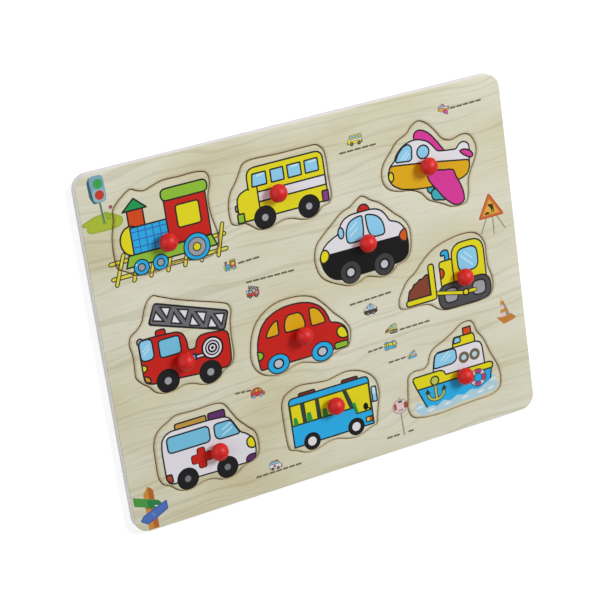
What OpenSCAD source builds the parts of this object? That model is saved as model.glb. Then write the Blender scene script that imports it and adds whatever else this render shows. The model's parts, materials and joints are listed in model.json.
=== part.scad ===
// Wooden peg puzzle: a flat board of two glued sheets, with ten vehicle-shaped cut-outs
// in the upper sheet, and in each cut-out a loose piece with a plastic knob to lift it by.
//
// The origin is the centre of the board's underside. +X runs along the long side,
// +Y towards the picture's upper edge and +Z out of the picture. Lengths are in millimetres.

/* [Board] */
// Length of the board along its long side
board_w = 280; // [276:1:320]
// Width of the board along its short side
board_h = 222; // [220:1:250]
// Radius of the board's corners
corner_r = 9.5; // [4:0.5:14]
// Thickness of the backing sheet
backing_t = 3; // [2:0.5:6]
// Thickness of the upper sheet, and so of the pieces
sheet_t = 4; // [3:0.5:8]
// Width of the broken edge round the board's two faces
edge_break = 0.5; // [0.2:0.1:1]
// Clear gap all round between a piece and its cut-out
cut_gap = 0.6; // [0.3:0.1:1]

/* [Knob] */
// Diameter of the knob's head
head_d = 11.2; // [10.4:0.2:13]
// Height of the knob above the piece
knob_h = 10; // [9:0.5:11.5]
// Radius of the rounding round the head's rim
rim_r = 2.4; // [1.8:0.1:2.7]
// Diameter of the knob at its waist
waist_d = 4.8; // [4.6:0.1:5.5]
// Thickness of the foot that sits on the piece
foot_t = 1; // [0.6:0.1:2]
// How far the foot stands out past the waist's curve
foot_lip = 0.3; // [0.1:0.1:1]
// Diameter of the shank that goes through the piece
shank_d = 4.4; // [3:0.2:4.8]
// Gap all round between the shank and its hole
shank_fit = 0.05; // [0.02:0.01:0.1]
// How far the shank's end stays above the piece's underside
shank_recess = 0.5; // [0.2:0.1:1.5]
// Chamfer on the shank's end
shank_chamfer = 0.4; // [0.2:0.1:0.8]

/* [Train] */
// Width of the train's cut line
train_w = 65.5; // [60:0.5:68]
// Height of the train's cut line
train_h = 52.5; // [48:0.5:54]

/* [School bus] */
// Width of the school bus's cut line
school_bus_w = 67; // [62:0.5:69]
// Height of the school bus's cut line
school_bus_h = 44.3; // [40:0.1:46]

/* [Plane] */
// Width of the plane's cut line
plane_w = 67.5; // [62:0.5:70]
// Height of the plane's cut line
plane_h = 59.2; // [54:0.1:60]

/* [Police car] */
// Width of the police car's cut line
police_car_w = 66.5; // [62:0.5:67]
// Height of the police car's cut line
police_car_h = 53.8; // [50:0.1:54]

/* [Bulldozer] */
// Width of the bulldozer's cut line
bulldozer_w = 68; // [63:0.5:70]
// Height of the bulldozer's cut line
bulldozer_h = 46.4; // [42:0.1:48]

/* [Fire truck] */
// Width of the fire truck's cut line
fire_truck_w = 66.5; // [62:0.5:69]
// Height of the fire truck's cut line
fire_truck_h = 62.9; // [58:0.1:64]

/* [Car] */
// Width of the car's cut line
car_w = 68; // [63:0.5:70]
// Height of the car's cut line
car_h = 45.9; // [42:0.1:48]

/* [Ambulance] */
// Width of the ambulance's cut line
ambulance_w = 67.2; // [62:0.1:70]
// Height of the ambulance's cut line
ambulance_h = 49.2; // [45:0.1:51]

/* [Bus] */
// Width of the bus's cut line
bus_w = 67; // [62:0.5:70]
// Height of the bus's cut line
bus_h = 44.9; // [41:0.1:47]

/* [Ship] */
// Width of the ship's cut line
ship_w = 68.5; // [63:0.5:70]
// Height of the ship's cut line
ship_h = 55; // [50:0.5:57]

/* [Hidden] */
$fn = 64;
// How far a cut runs past the faces that it opens
overrun = 1;
// Straight steps along each span of a cut line
span_steps = 6;

// Height of the board's face, flush with the faces of the pieces
face_z = backing_t + sheet_t;

// Knob: centre of the rim's rounding, curve of the waist, radius of the domed top and height
// at which the dome runs smoothly into the rim
rim_x = head_d / 2 - rim_r;
waist_curve_r = rim_x - waist_d / 2;
rim_z = foot_t + 2 * waist_curve_r + rim_r;
crown_h = knob_h - rim_z;
dome_r = (pow(rim_x, 2) + pow(crown_h, 2) - pow(rim_r, 2)) / (2 * (crown_h - rim_r));
dome_z = knob_h - dome_r;
meet_z = dome_z + (rim_z - dome_z) * dome_r / (dome_r - rim_r);

// Each piece's centre as shares of the board's length and width
train_place_share = [-0.325, 0.318];
school_bus_place_share = [-0.058, 0.33];
plane_place_share = [0.306, 0.286];
police_car_place_share = [0.12, 0.133];
bulldozer_place_share = [0.3075, -0.033];
fire_truck_place_share = [-0.325, -0.002];
car_place_share = [-0.0585, -0.075];
ambulance_place_share = [-0.311, -0.313];
bus_place_share = [-0.008, -0.324];
ship_place_share = [0.299, -0.31];

// Each knob's place on its piece, as shares of the piece's width and height
train_knob_share = [-0.009, -0.174];
school_bus_knob_share = [-0.039, -0.005];
plane_knob_share = [-0.051, 0.027];
police_car_knob_share = [0.016, -0.026];
bulldozer_knob_share = [0.175, -0.068];
fire_truck_knob_share = [-0.03, -0.185];
car_knob_share = [0.011, -0.025];
ambulance_knob_share = [0.085, -0.081];
bus_knob_share = [0.009, 0.096];
ship_knob_share = [0.087, -0.102];

// Each cut line goes counter-clockwise from the vehicle's top, as shares of its width and height
// Train: cap of the chimney, nose, wheels and cab
train_shares = [
    [-0.25, 0.49], [-0.34, 0.43], [-0.44, 0.31], [-0.45, 0.2], [-0.49, 0], [-0.5, -0.22],
    [-0.485, -0.35], [-0.4, -0.42], [-0.33, -0.48], [-0.18, -0.5], [-0.06, -0.49],
    [0.05, -0.455], [0.14, -0.455], [0.28, -0.495], [0.42, -0.475], [0.485, -0.4],
    [0.495, -0.25], [0.46, -0.02], [0.457, 0.18], [0.495, 0.36], [0.475, 0.46],
    [0.39, 0.495], [0.2, 0.495], [0.05, 0.497], [-0.05, 0.465], [-0.13, 0.437], [-0.2, 0.46]
];
// School bus: roof's front corner, bonnet, wheels and rear corner
school_bus_shares = [
    [-0.25, 0.5], [-0.31, 0.465], [-0.35, 0.37], [-0.4, 0.25], [-0.46, 0.13], [-0.49, 0],
    [-0.5, -0.15], [-0.485, -0.29], [-0.43, -0.33], [-0.36, -0.33], [-0.3, -0.395],
    [-0.24, -0.46], [-0.15, -0.48], [-0.06, -0.445], [0.02, -0.42], [0.1, -0.435],
    [0.18, -0.48], [0.26, -0.5], [0.33, -0.47], [0.39, -0.39], [0.47, -0.35], [0.5, -0.27],
    [0.497, 0], [0.495, 0.3], [0.475, 0.41], [0.42, 0.48], [0.34, 0.49], [0.05, 0.49]
];
// Plane: far wing's tip, nose, near wing and tail
plane_shares = [
    [-0.07, 0.5], [-0.14, 0.465], [-0.2, 0.4], [-0.31, 0.34], [-0.38, 0.255], [-0.46, 0.155],
    [-0.495, 0.06], [-0.49, -0.05], [-0.44, -0.13], [-0.34, -0.18], [-0.21, -0.205],
    [-0.12, -0.26], [-0.06, -0.345], [0.02, -0.395], [0.1, -0.44], [0.17, -0.485],
    [0.26, -0.5], [0.33, -0.48], [0.36, -0.4], [0.375, -0.26], [0.41, -0.16], [0.465, -0.05],
    [0.495, 0.05], [0.48, 0.15], [0.43, 0.23], [0.35, 0.245], [0.24, 0.217], [0.16, 0.255],
    [0.09, 0.36], [0.01, 0.46]
];
// Police car: beacon, bonnet, wheels and boot
police_car_shares = [
    [0.04, 0.5], [-0.02, 0.465], [-0.08, 0.415], [-0.18, 0.37], [-0.27, 0.285], [-0.38, 0.18],
    [-0.46, 0.085], [-0.495, -0.03], [-0.497, -0.15], [-0.46, -0.29], [-0.38, -0.38],
    [-0.27, -0.45], [-0.17, -0.495], [-0.08, -0.475], [0, -0.442], [0.08, -0.47],
    [0.17, -0.5], [0.25, -0.48], [0.32, -0.415], [0.41, -0.38], [0.465, -0.31],
    [0.495, -0.16], [0.49, 0], [0.44, 0.11], [0.36, 0.2], [0.29, 0.29], [0.22, 0.37],
    [0.13, 0.435], [0.085, 0.48]
];
// Bulldozer: cab's front corner, exhaust, heap in the blade and tracks
bulldozer_shares = [
    [0.22, 0.495], [0.1, 0.475], [-0.02, 0.435], [-0.13, 0.36], [-0.22, 0.255],
    [-0.3, 0.145], [-0.38, 0.07], [-0.45, -0.06], [-0.49, -0.18], [-0.485, -0.28],
    [-0.43, -0.315], [-0.28, -0.322], [-0.18, -0.35], [-0.1, -0.44], [-0.02, -0.487],
    [0.15, -0.497], [0.36, -0.495], [0.45, -0.46], [0.495, -0.35], [0.495, -0.2],
    [0.467, -0.04], [0.462, 0.12], [0.46, 0.28], [0.42, 0.4], [0.35, 0.475]
];
// Fire truck: ladder's raised end, cab, wheels, hose reel and ladder's foot
fire_truck_shares = [
    [-0.21, 0.5], [-0.265, 0.465], [-0.31, 0.385], [-0.35, 0.28], [-0.41, 0.215],
    [-0.475, 0.17], [-0.497, 0.1], [-0.483, -0.02], [-0.487, -0.15], [-0.488, -0.235],
    [-0.44, -0.305], [-0.38, -0.36], [-0.33, -0.425], [-0.25, -0.462], [-0.16, -0.462],
    [-0.05, -0.436], [0.04, -0.452], [0.12, -0.487], [0.21, -0.5], [0.28, -0.47],
    [0.34, -0.41], [0.42, -0.37], [0.455, -0.3], [0.462, -0.1], [0.475, 0.06],
    [0.497, 0.16], [0.475, 0.22], [0.41, 0.255], [0.2, 0.33], [0, 0.405], [-0.14, 0.47]
];
// Car: roof, rear, wheels and bonnet
car_shares = [
    [-0.1, 0.503], [-0.2, 0.483], [-0.3, 0.42], [-0.39, 0.315], [-0.45, 0.17], [-0.485, 0],
    [-0.497, -0.18], [-0.47, -0.32], [-0.4, -0.43], [-0.3, -0.485], [-0.2, -0.48],
    [-0.11, -0.435], [-0.02, -0.42], [0.06, -0.45], [0.14, -0.49], [0.22, -0.495],
    [0.29, -0.44], [0.37, -0.4], [0.45, -0.38], [0.485, -0.28], [0.495, -0.15],
    [0.45, -0.015], [0.36, 0.13], [0.27, 0.3], [0.18, 0.425], [0.05, 0.49]
];
// Ambulance: roof's rear corner, wheels, bonnet and windscreen
ambulance_shares = [
    [-0.25, 0.5], [-0.32, 0.455], [-0.4, 0.4], [-0.46, 0.32], [-0.49, 0.2], [-0.497, 0],
    [-0.497, -0.2], [-0.465, -0.31], [-0.39, -0.375], [-0.32, -0.455], [-0.23, -0.487],
    [-0.15, -0.463], [-0.06, -0.437], [0.02, -0.447], [0.1, -0.49], [0.18, -0.497],
    [0.25, -0.465], [0.32, -0.405], [0.42, -0.37], [0.48, -0.3], [0.497, -0.15],
    [0.48, -0.01], [0.41, 0.095], [0.33, 0.22], [0.28, 0.34], [0.225, 0.46],
    [0.16, 0.497], [-0.05, 0.495]
];
// Bus: roof's rear corner, wheels, front and the dip between the roof's vents
bus_shares = [
    [-0.29, 0.495], [-0.39, 0.46], [-0.46, 0.395], [-0.49, 0.3], [-0.497, 0.05],
    [-0.492, -0.25], [-0.475, -0.37], [-0.4, -0.42], [-0.33, -0.475], [-0.25, -0.493],
    [-0.17, -0.47], [-0.08, -0.43], [0.02, -0.43], [0.11, -0.47], [0.2, -0.492],
    [0.28, -0.465], [0.36, -0.42], [0.43, -0.385], [0.445, -0.29], [0.47, -0.13],
    [0.497, 0.05], [0.48, 0.24], [0.42, 0.36], [0.32, 0.45], [0.2, 0.491], [0.1, 0.478],
    [0, 0.45], [-0.1, 0.46]
];
// Ship: funnel, foredeck, hull in the waves and stern
ship_shares = [
    [0.24, 0.5], [0.15, 0.497], [0.06, 0.433], [-0.06, 0.357], [-0.17, 0.297],
    [-0.215, 0.235], [-0.245, 0.14], [-0.29, 0.097], [-0.4, 0.097], [-0.455, 0.06],
    [-0.475, -0.05], [-0.49, -0.2], [-0.5, -0.33], [-0.465, -0.43], [-0.38, -0.475],
    [-0.2, -0.498], [0, -0.485], [0.2, -0.475], [0.38, -0.465], [0.47, -0.41],
    [0.497, -0.28], [0.48, -0.13], [0.42, 0.04], [0.36, 0.24], [0.3, 0.36], [0.275, 0.46]
];

// Root of the distance between two points, the step by which a curve's parameter grows
function root_step(p, q) = sqrt(norm(q - p));

// Slope of the curve at q, where it comes from p in a step of a and goes on to r in a step of b
function slope_at(p, q, r, a, b) = (q - p) / a - (r - p) / (a + b) + (r - q) / b;

// Place, or direction, on the cubic from q with slope m to r with slope n, at t from 0 to 1
function cubic_place(q, r, m, n, t) =
    (2 * t - 3) * t * t * (q - r) + q + t * pow(t - 1, 2) * m + t * t * (t - 1) * n;
function cubic_direction(q, r, m, n, t) =
    6 * t * (t - 1) * (q - r) + (t - 1) * (3 * t - 1) * m + t * (3 * t - 2) * n;

// Smooth closed line through the points given as shares of size, moved outwards by grow
function cut_line(shares, size, grow) =
    let (count = len(shares), points = [for (s = shares) [s[0] * size[0], s[1] * size[1]]])
    [for (i = [0 : count - 1])
        let (
            p = points[(i + count - 1) % count],
            q = points[i],
            r = points[(i + 1) % count],
            s = points[(i + 2) % count],
            a = root_step(p, q),
            b = root_step(q, r),
            c = root_step(r, s),
            m = slope_at(p, q, r, a, b) * b,
            n = slope_at(q, r, s, b, c) * b
        )
        for (k = [0 : span_steps - 1])
            let (t = k / span_steps, d = cubic_direction(q, r, m, n, t))
            cubic_place(q, r, m, n, t) + grow * [d[1], -d[0]] / norm(d)
    ];

// Puts its children at a place given as shares of the board
module at_place(place_share) {
    translate([board_w * place_share[0], board_h * place_share[1], 0]) children();
}

// Cut-out for one piece, through the upper sheet
module cut_out(shares, size, place_share) {
    at_place(place_share) translate([0, 0, backing_t - overrun])
        linear_extrude(sheet_t + 2 * overrun) polygon(cut_line(shares, size, cut_gap / 2));
}

// One piece, flush with the board's face, with the hole for its knob's shank
module piece(shares, size, place_share, knob_share) {
    at_place(place_share) translate([0, 0, backing_t]) difference() {
        linear_extrude(sheet_t) polygon(cut_line(shares, size, -cut_gap / 2));
        translate([size[0] * knob_share[0], size[1] * knob_share[1], -overrun])
            cylinder(d = shank_d + 2 * shank_fit, h = sheet_t + 2 * overrun);
    }
}

// Half section of the knob: domed head on a hollow waist, foot on the piece and chamfered shank
module knob_section() {
    shank_r = shank_d / 2;
    foot_r = rim_x + foot_lip;
    shank_end = shank_recess - sheet_t;
    // Head: the dome runs into the rim's rounding
    intersection() {
        translate([0, dome_z]) circle(dome_r);
        translate([0, meet_z]) square([head_d, knob_h]);
    }
    translate([rim_x, rim_z]) circle(rim_r);
    translate([0, rim_z - rim_r]) square([rim_x, meet_z - rim_z + rim_r]);
    // Waist: a hollow that runs into the head's underside and the foot
    difference() {
        translate([0, foot_t / 2]) square([rim_x, foot_t / 2 + 2 * waist_curve_r + rim_r]);
        translate([rim_x, foot_t + waist_curve_r]) circle(waist_curve_r);
    }
    // Foot with a round edge, and the shank
    square([foot_r - foot_t / 2, foot_t]);
    translate([foot_r - foot_t / 2, foot_t / 2]) circle(foot_t / 2);
    polygon([
        [0, shank_end], [shank_r - shank_chamfer, shank_end],
        [shank_r, shank_end + shank_chamfer], [shank_r, foot_t / 2], [0, foot_t / 2]
    ]);
}

// Knob of one piece
module peg(size, place_share, knob_share) {
    at_place(place_share) translate([size[0] * knob_share[0], size[1] * knob_share[1], face_z])
        rotate_extrude() knob_section();
}

// Section of a sheet, with its broken edge at the top
module sheet_section(half, t) {
    polygon([
        [-half, 0], [half, 0], [half, t - edge_break], [half - edge_break, t],
        [edge_break - half, t], [-half, t - edge_break]
    ]);
}

// Sheet with round corners and a broken edge round its upper face
module sheet(t) {
    straight_x = board_w - 2 * corner_r;
    straight_y = board_h - 2 * corner_r;
    translate([-straight_x / 2, 0, 0]) rotate([90, 0, 90])
        linear_extrude(straight_x) sheet_section(board_h / 2, t);
    translate([0, straight_y / 2, 0]) rotate([90, 0, 0])
        linear_extrude(straight_y) sheet_section(board_w / 2, t);
    for (side_x = [-1, 1], side_y = [-1, 1])
        translate([side_x * straight_x / 2, side_y * straight_y / 2, 0]) rotate_extrude()
            polygon([
                [0, 0], [corner_r, 0], [corner_r, t - edge_break], [corner_r - edge_break, t], [0, t]
            ]);
}

module base_board() {
    color("burlywood") translate([0, 0, backing_t]) mirror([0, 0, 1]) sheet(backing_t);
}

module top_board() {
    color("wheat") difference() {
        translate([0, 0, backing_t]) sheet(sheet_t);
        cut_out(train_shares, [train_w, train_h], train_place_share);
        cut_out(school_bus_shares, [school_bus_w, school_bus_h], school_bus_place_share);
        cut_out(plane_shares, [plane_w, plane_h], plane_place_share);
        cut_out(police_car_shares, [police_car_w, police_car_h], police_car_place_share);
        cut_out(bulldozer_shares, [bulldozer_w, bulldozer_h], bulldozer_place_share);
        cut_out(fire_truck_shares, [fire_truck_w, fire_truck_h], fire_truck_place_share);
        cut_out(car_shares, [car_w, car_h], car_place_share);
        cut_out(ambulance_shares, [ambulance_w, ambulance_h], ambulance_place_share);
        cut_out(bus_shares, [bus_w, bus_h], bus_place_share);
        cut_out(ship_shares, [ship_w, ship_h], ship_place_share);
    }
}

module train_piece() {
    color("limegreen") piece(train_shares, [train_w, train_h], train_place_share, train_knob_share);
}

module school_bus_piece() {
    color("gold") piece(
        school_bus_shares, [school_bus_w, school_bus_h], school_bus_place_share, school_bus_knob_share);
}

module plane_piece() {
    color("mediumvioletred") piece(
        plane_shares, [plane_w, plane_h], plane_place_share, plane_knob_share);
}

module police_car_piece() {
    color("dimgray") piece(
        police_car_shares, [police_car_w, police_car_h], police_car_place_share, police_car_knob_share);
}

module bulldozer_piece() {
    color("goldenrod") piece(
        bulldozer_shares, [bulldozer_w, bulldozer_h], bulldozer_place_share, bulldozer_knob_share);
}

module fire_truck_piece() {
    color("crimson") piece(
        fire_truck_shares, [fire_truck_w, fire_truck_h], fire_truck_place_share, fire_truck_knob_share);
}

module car_piece() {
    color("tomato") piece(car_shares, [car_w, car_h], car_place_share, car_knob_share);
}

module ambulance_piece() {
    color("whitesmoke") piece(
        ambulance_shares, [ambulance_w, ambulance_h], ambulance_place_share, ambulance_knob_share);
}

module bus_piece() {
    color("deepskyblue") piece(bus_shares, [bus_w, bus_h], bus_place_share, bus_knob_share);
}

module ship_piece() {
    color("steelblue") piece(ship_shares, [ship_w, ship_h], ship_place_share, ship_knob_share);
}

module train_peg() {
    color("red") peg([train_w, train_h], train_place_share, train_knob_share);
}

module school_bus_peg() {
    color("red") peg([school_bus_w, school_bus_h], school_bus_place_share, school_bus_knob_share);
}

module plane_peg() {
    color("red") peg([plane_w, plane_h], plane_place_share, plane_knob_share);
}

module police_car_peg() {
    color("red") peg([police_car_w, police_car_h], police_car_place_share, police_car_knob_share);
}

module bulldozer_peg() {
    color("red") peg([bulldozer_w, bulldozer_h], bulldozer_place_share, bulldozer_knob_share);
}

module fire_truck_peg() {
    color("red") peg([fire_truck_w, fire_truck_h], fire_truck_place_share, fire_truck_knob_share);
}

module car_peg() {
    color("red") peg([car_w, car_h], car_place_share, car_knob_share);
}

module ambulance_peg() {
    color("red") peg([ambulance_w, ambulance_h], ambulance_place_share, ambulance_knob_share);
}

module bus_peg() {
    color("red") peg([bus_w, bus_h], bus_place_share, bus_knob_share);
}

module ship_peg() {
    color("red") peg([ship_w, ship_h], ship_place_share, ship_knob_share);
}

base_board();
top_board();
train_piece();
school_bus_piece();
plane_piece();
police_car_piece();
bulldozer_piece();
fire_truck_piece();
car_piece();
ambulance_piece();
bus_piece();
ship_piece();
train_peg();
school_bus_peg();
plane_peg();
police_car_peg();
bulldozer_peg();
fire_truck_peg();
car_peg();
ambulance_peg();
bus_peg();
ship_peg();
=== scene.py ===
# %% [markdown]
# # A wooden peg puzzle
#
# The real board is two sheets of fibreboard, glued face to face. The upper one carries a
# paper printed with pale wood grain and cartoon vehicles, and a laser has cut ten shapes
# out of it. Each shape is a loose piece with a red plastic knob.
#
# The CAD frame already holds every piece at its true size. What it lacks is what the eye
# reads first: the print, the softly rolled and browned edge along every cut, and the
# finish of fibreboard and plastic. This script adds those and leaves all sizes alone.

# %% Load the frame
import json
import math

import bpy
import numpy as np
from mathutils import Matrix, Vector
from mathutils.geometry import delaunay_2d_cdt

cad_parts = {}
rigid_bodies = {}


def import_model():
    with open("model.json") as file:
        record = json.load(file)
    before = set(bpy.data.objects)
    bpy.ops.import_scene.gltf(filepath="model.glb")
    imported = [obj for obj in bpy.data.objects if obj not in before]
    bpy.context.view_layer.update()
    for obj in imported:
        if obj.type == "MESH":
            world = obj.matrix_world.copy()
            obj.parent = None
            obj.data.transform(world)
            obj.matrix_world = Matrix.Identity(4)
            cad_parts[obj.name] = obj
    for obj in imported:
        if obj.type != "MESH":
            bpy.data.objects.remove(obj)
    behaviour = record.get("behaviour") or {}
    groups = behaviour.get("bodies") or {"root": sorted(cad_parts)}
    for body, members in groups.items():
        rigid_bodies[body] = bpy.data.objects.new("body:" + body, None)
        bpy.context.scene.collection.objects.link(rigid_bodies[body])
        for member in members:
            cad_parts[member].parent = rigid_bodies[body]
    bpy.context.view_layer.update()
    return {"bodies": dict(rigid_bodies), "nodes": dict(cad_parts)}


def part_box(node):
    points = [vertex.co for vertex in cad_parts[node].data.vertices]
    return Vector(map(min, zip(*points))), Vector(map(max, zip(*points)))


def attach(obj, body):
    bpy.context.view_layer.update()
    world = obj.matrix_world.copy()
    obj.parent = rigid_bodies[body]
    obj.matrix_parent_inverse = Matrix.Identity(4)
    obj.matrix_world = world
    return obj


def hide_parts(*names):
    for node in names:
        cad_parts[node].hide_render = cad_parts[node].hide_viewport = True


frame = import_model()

MM = 0.001

# %% [markdown]
# ## Camera
#
# The photograph looks down on the board from its upper left, about 30 degrees off square,
# and is turned a little about the line of sight. Its place was worked out from the four
# corners of the board. The lens length follows from the same corners: a long lens, which
# is why the board's sides look almost parallel.

# %% Camera
CAMERA_PLACE = Vector((-474.15, 383.85, 1070.8)) * MM
CAMERA_AIM = Vector((-12.95, 3.45, 6.7)) * MM
UP_IN_PHOTO = Vector((0.2564, 0.9400, -0.2250))
LENS = 121.67

ahead = (CAMERA_AIM - CAMERA_PLACE).normalized()
right = ahead.cross(UP_IN_PHOTO).normalized()
up = right.cross(ahead)
camera = bpy.data.objects.new("camera", bpy.data.cameras.new("camera"))
camera.data.sensor_width = 36.0
camera.data.lens = LENS
turn = Matrix((right, up, -ahead)).transposed().to_4x4()
camera.matrix_world = Matrix.Translation(CAMERA_PLACE) @ turn
bpy.context.scene.collection.objects.link(camera)
bpy.context.scene.camera = camera
print("camera is", round((CAMERA_AIM - CAMERA_PLACE).length, 3), "m from the board")

# %% [markdown]
# ## Colours and nodes
#
# Inks and finishes are written as sRGB hex values, the way a printer's chart lists them,
# and one function turns them into the linear light that shaders use. A second small
# function adds a shader node, sets its values and links its inputs, and the others build
# on it.

# %% Colour and node helpers
def linear(hex_colour):
    """Linear RGBA of an sRGB hex colour: a straight toe, and above it a power of 2.4."""
    srgb = np.array([int(hex_colour[i:i + 2], 16) for i in (1, 3, 5)]) / 255
    rgb = np.where(srgb <= 0.04045, srgb / 12.92, ((srgb + 0.055) / 1.055) ** 2.4)
    return (*rgb.tolist(), 1.0)


def add(tree, kind, settings=None, sockets=None):
    """Adds a node. Settings are its options. Sockets, by name or number, take a value or link."""
    made = tree.nodes.new(kind)
    for key, value in (settings or {}).items():
        setattr(made, key, value)
    for key, value in (sockets or {}).items():
        if isinstance(value, bpy.types.NodeSocket):
            tree.links.new(value, made.inputs[key])
        else:
            made.inputs[key].default_value = value
    return made


def new_material(name):
    """An empty node material and its tree."""
    material = bpy.data.materials.new(name)
    material.use_nodes = True
    material.node_tree.nodes.clear()
    return material, material.node_tree


def show(tree, shader):
    """Puts a shader on the material's surface."""
    add(tree, "ShaderNodeOutputMaterial", sockets={"Surface": shader})


def relief(tree, height, strength, depth_mm):
    """Normals tilted by the slope of a height, so that a fine texture catches the light."""
    sockets = {"Strength": strength, "Distance": depth_mm * MM, "Height": height}
    return add(tree, "ShaderNodeBump", sockets=sockets).outputs[0]


def surface(tree, sockets):
    """A plain surface from its colour, roughness and other sockets."""
    return add(tree, "ShaderNodeBsdfPrincipled", sockets=sockets).outputs[0]


def ramp(tree, value, stops):
    """A colour ramp over a value, from (position, hex colour) stops."""
    made = add(tree, "ShaderNodeValToRGB", sockets={"Fac": value})
    elements = made.color_ramp.elements
    while len(elements) < len(stops):
        elements.new(0.5)
    for element, (position, hex_colour) in zip(elements, stops):
        element.position = position
        element.color = linear(hex_colour)
    return made.outputs["Color"]


def stretched_noise(tree, place, size_mm, detail=2.0, roughness=0.5):
    """Noise whose blots measure size_mm along X, Y and Z, read at a place in metres."""
    scale = tuple(1 / (length * MM) for length in size_mm)
    vector = add(tree, "ShaderNodeVectorMath", {"operation": "MULTIPLY"}, {0: place, 1: scale})
    return add(tree, "ShaderNodeTexNoise", sockets={
        "Vector": vector.outputs[0], "Scale": 1.0, "Detail": detail, "Roughness": roughness,
    }).outputs["Fac"]


def mix(tree, factor, first, second, blend="MIX"):
    """Mixes two colours, each a link or a hex colour."""
    settings = {"data_type": "RGBA", "blend_type": blend}
    made = add(tree, "ShaderNodeMix", settings, {"Factor": factor})
    for number, colour in ((6, first), (7, second)):
        if isinstance(colour, str):
            made.inputs[number].default_value = linear(colour)
        else:
            tree.links.new(colour, made.inputs[number])
    return made.outputs[2]


def mix_shaders(tree, factor, first, second):
    """Mixes two shaders: at a factor of 0 only the first, at 1 only the second."""
    return add(tree, "ShaderNodeMixShader", sockets={0: factor, 1: first, 2: second}).outputs[0]


def maths(tree, operation, first, second):
    """One step of arithmetic on two values or links."""
    return add(tree, "ShaderNodeMath", {"operation": operation}, {0: first, 1: second}).outputs[0]


INKS = {
    # Contours, blacks, greys and white
    "black": "#050506", "contour": "#1E1C1C", "tyre": "#151415", "rubber": "#3A393B",
    "iron": "#4A484B", "ladder": "#68676C", "lead": "#737479", "grey": "#999BA1",
    "silver": "#BDBDC6", "white": "#DCDAE0",
    # Reds, browns and yellows
    "red": "#C3190E", "vermilion": "#CD450C", "dark red": "#7E2822", "rust": "#A8401F",
    "earth": "#803E29", "orange": "#CC5616", "amber": "#D08F22", "ochre": "#D8A504",
    "yellow": "#DCD210", "rail": "#DACF45", "tan": "#BD9140", "umber": "#5A5145",
    "bark": "#74653F", "olive": "#38330F", "khaki": "#B9BE58",
    # Greens, blues and purples
    "leaf": "#89B930", "fir": "#18954D", "signal": "#1B973B", "ink green": "#2F3B12",
    "sky": "#88C8E7", "azure": "#70BAD9", "haze": "#AFCEDD", "glint": "#BDDDEC",
    "wave": "#A9CBD8", "foam": "#D6E0E0", "blue": "#24A8E1", "royal": "#2F57AE",
    "petrol": "#1C4652", "teal": "#3BA5B1", "magenta": "#D13393", "purple": "#843782",
    "violet": "#5F2866", "plum": "#A8467F",
    # Softer inks of the decorations
    "lime": "#A7B832", "grass": "#96AE3B", "turf": "#739F2C", "slate": "#62756A",
    "enamel": "#79A3B8", "mist": "#90B1BA", "teal dark": "#33606B",
    "lamp green": "#3A9F4A", "lamp red": "#C03828", "clover": "#A04E64",
    "works": "#CB6C2D", "ember": "#B9562B", "maize": "#DAA73E", "straw": "#CFC293",
    "clay": "#BE7C32", "shade": "#959079", "blush": "#DAC4C2", "mauve": "#AF9C98",
    "brick": "#A64A33", "post": "#C68A35", "dark post": "#B66228",
    "sign green": "#479440", "dark green": "#2C7B44", "sign blue": "#4C6DB6",
    "navy": "#4262A6", "dashes": "#6A624F",
}
INK_COLOURS = {name: linear(colour) for name, colour in INKS.items()}
# The small pictures are printed thinner: a little of the ground shows through each ink
THIN_INK = 0.93
INK_COLOURS.update(
    {"thin " + name: (*colour[:3], THIN_INK) for name, colour in INK_COLOURS.items()})
print(len(INKS), "inks")

# %% [markdown]
# ## Printed wood grain, on paper over fibreboard
#
# The pale grain is not wood at all. It is printed on paper, so it has the colour of wood
# and none of its relief, and one satin varnish lies over grain and pictures alike. The
# grain runs along the board: broad drifts of tone, then thin year rings that wander and
# crowd together, then short fibres. Each is a noise stretched along X, in real
# millimetres, and the rings are bent by a slow noise first. It is read in the object's
# own coordinates, so it runs on from the board into the pieces as on the real one.
#
# The pictures are not an image either. Every triangle of a printed face carries its ink
# in an attribute called ink, whose alpha says how much of the ground the ink covers. A
# second attribute, scorch, is highest at a cut and fades to nothing within 2 mm of it,
# where the laser browned the paper.

# %% Printed paper material
RING_BEND = 22 * MM


def grain_colour(tree, place):
    """Colour of the printed grain: drifts of tone, wandering rings and short fibres."""
    drift = stretched_noise(tree, place, (120, 45, 50), 2.0)
    bend = stretched_noise(tree, place, (75, 26, 50), 1.5)
    shift = maths(tree, "MULTIPLY", maths(tree, "SUBTRACT", bend, 0.5), RING_BEND)
    bent = add(tree, "ShaderNodeCombineXYZ", sockets={"Y": shift})
    bent = add(tree, "ShaderNodeVectorMath", {"operation": "ADD"}, {0: place, 1: bent.outputs[0]})
    rings = stretched_noise(tree, bent.outputs[0], (230, 3.0, 50), 2.0, 0.5)
    fibres = stretched_noise(tree, place, (18, 0.5, 50), 2.0)
    colour = ramp(tree, drift, (
        (0.30, "#CAC4A4"), (0.42, "#D2CFB6"), (0.52, "#D6D4C0"), (0.72, "#DCDBCB")))
    lines = ramp(tree, rings, (
        (0.36, "#C3B78C"), (0.47, "#FFFFFF"), (0.60, "#F6F3DC"), (0.72, "#FFFFFF")))
    colour = mix(tree, 0.26, colour, lines, "MULTIPLY")
    hairs = ramp(tree, fibres, ((0.34, "#D9D0B4"), (0.50, "#FFFFFF")))
    return mix(tree, 0.22, colour, hairs, "MULTIPLY")


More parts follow.
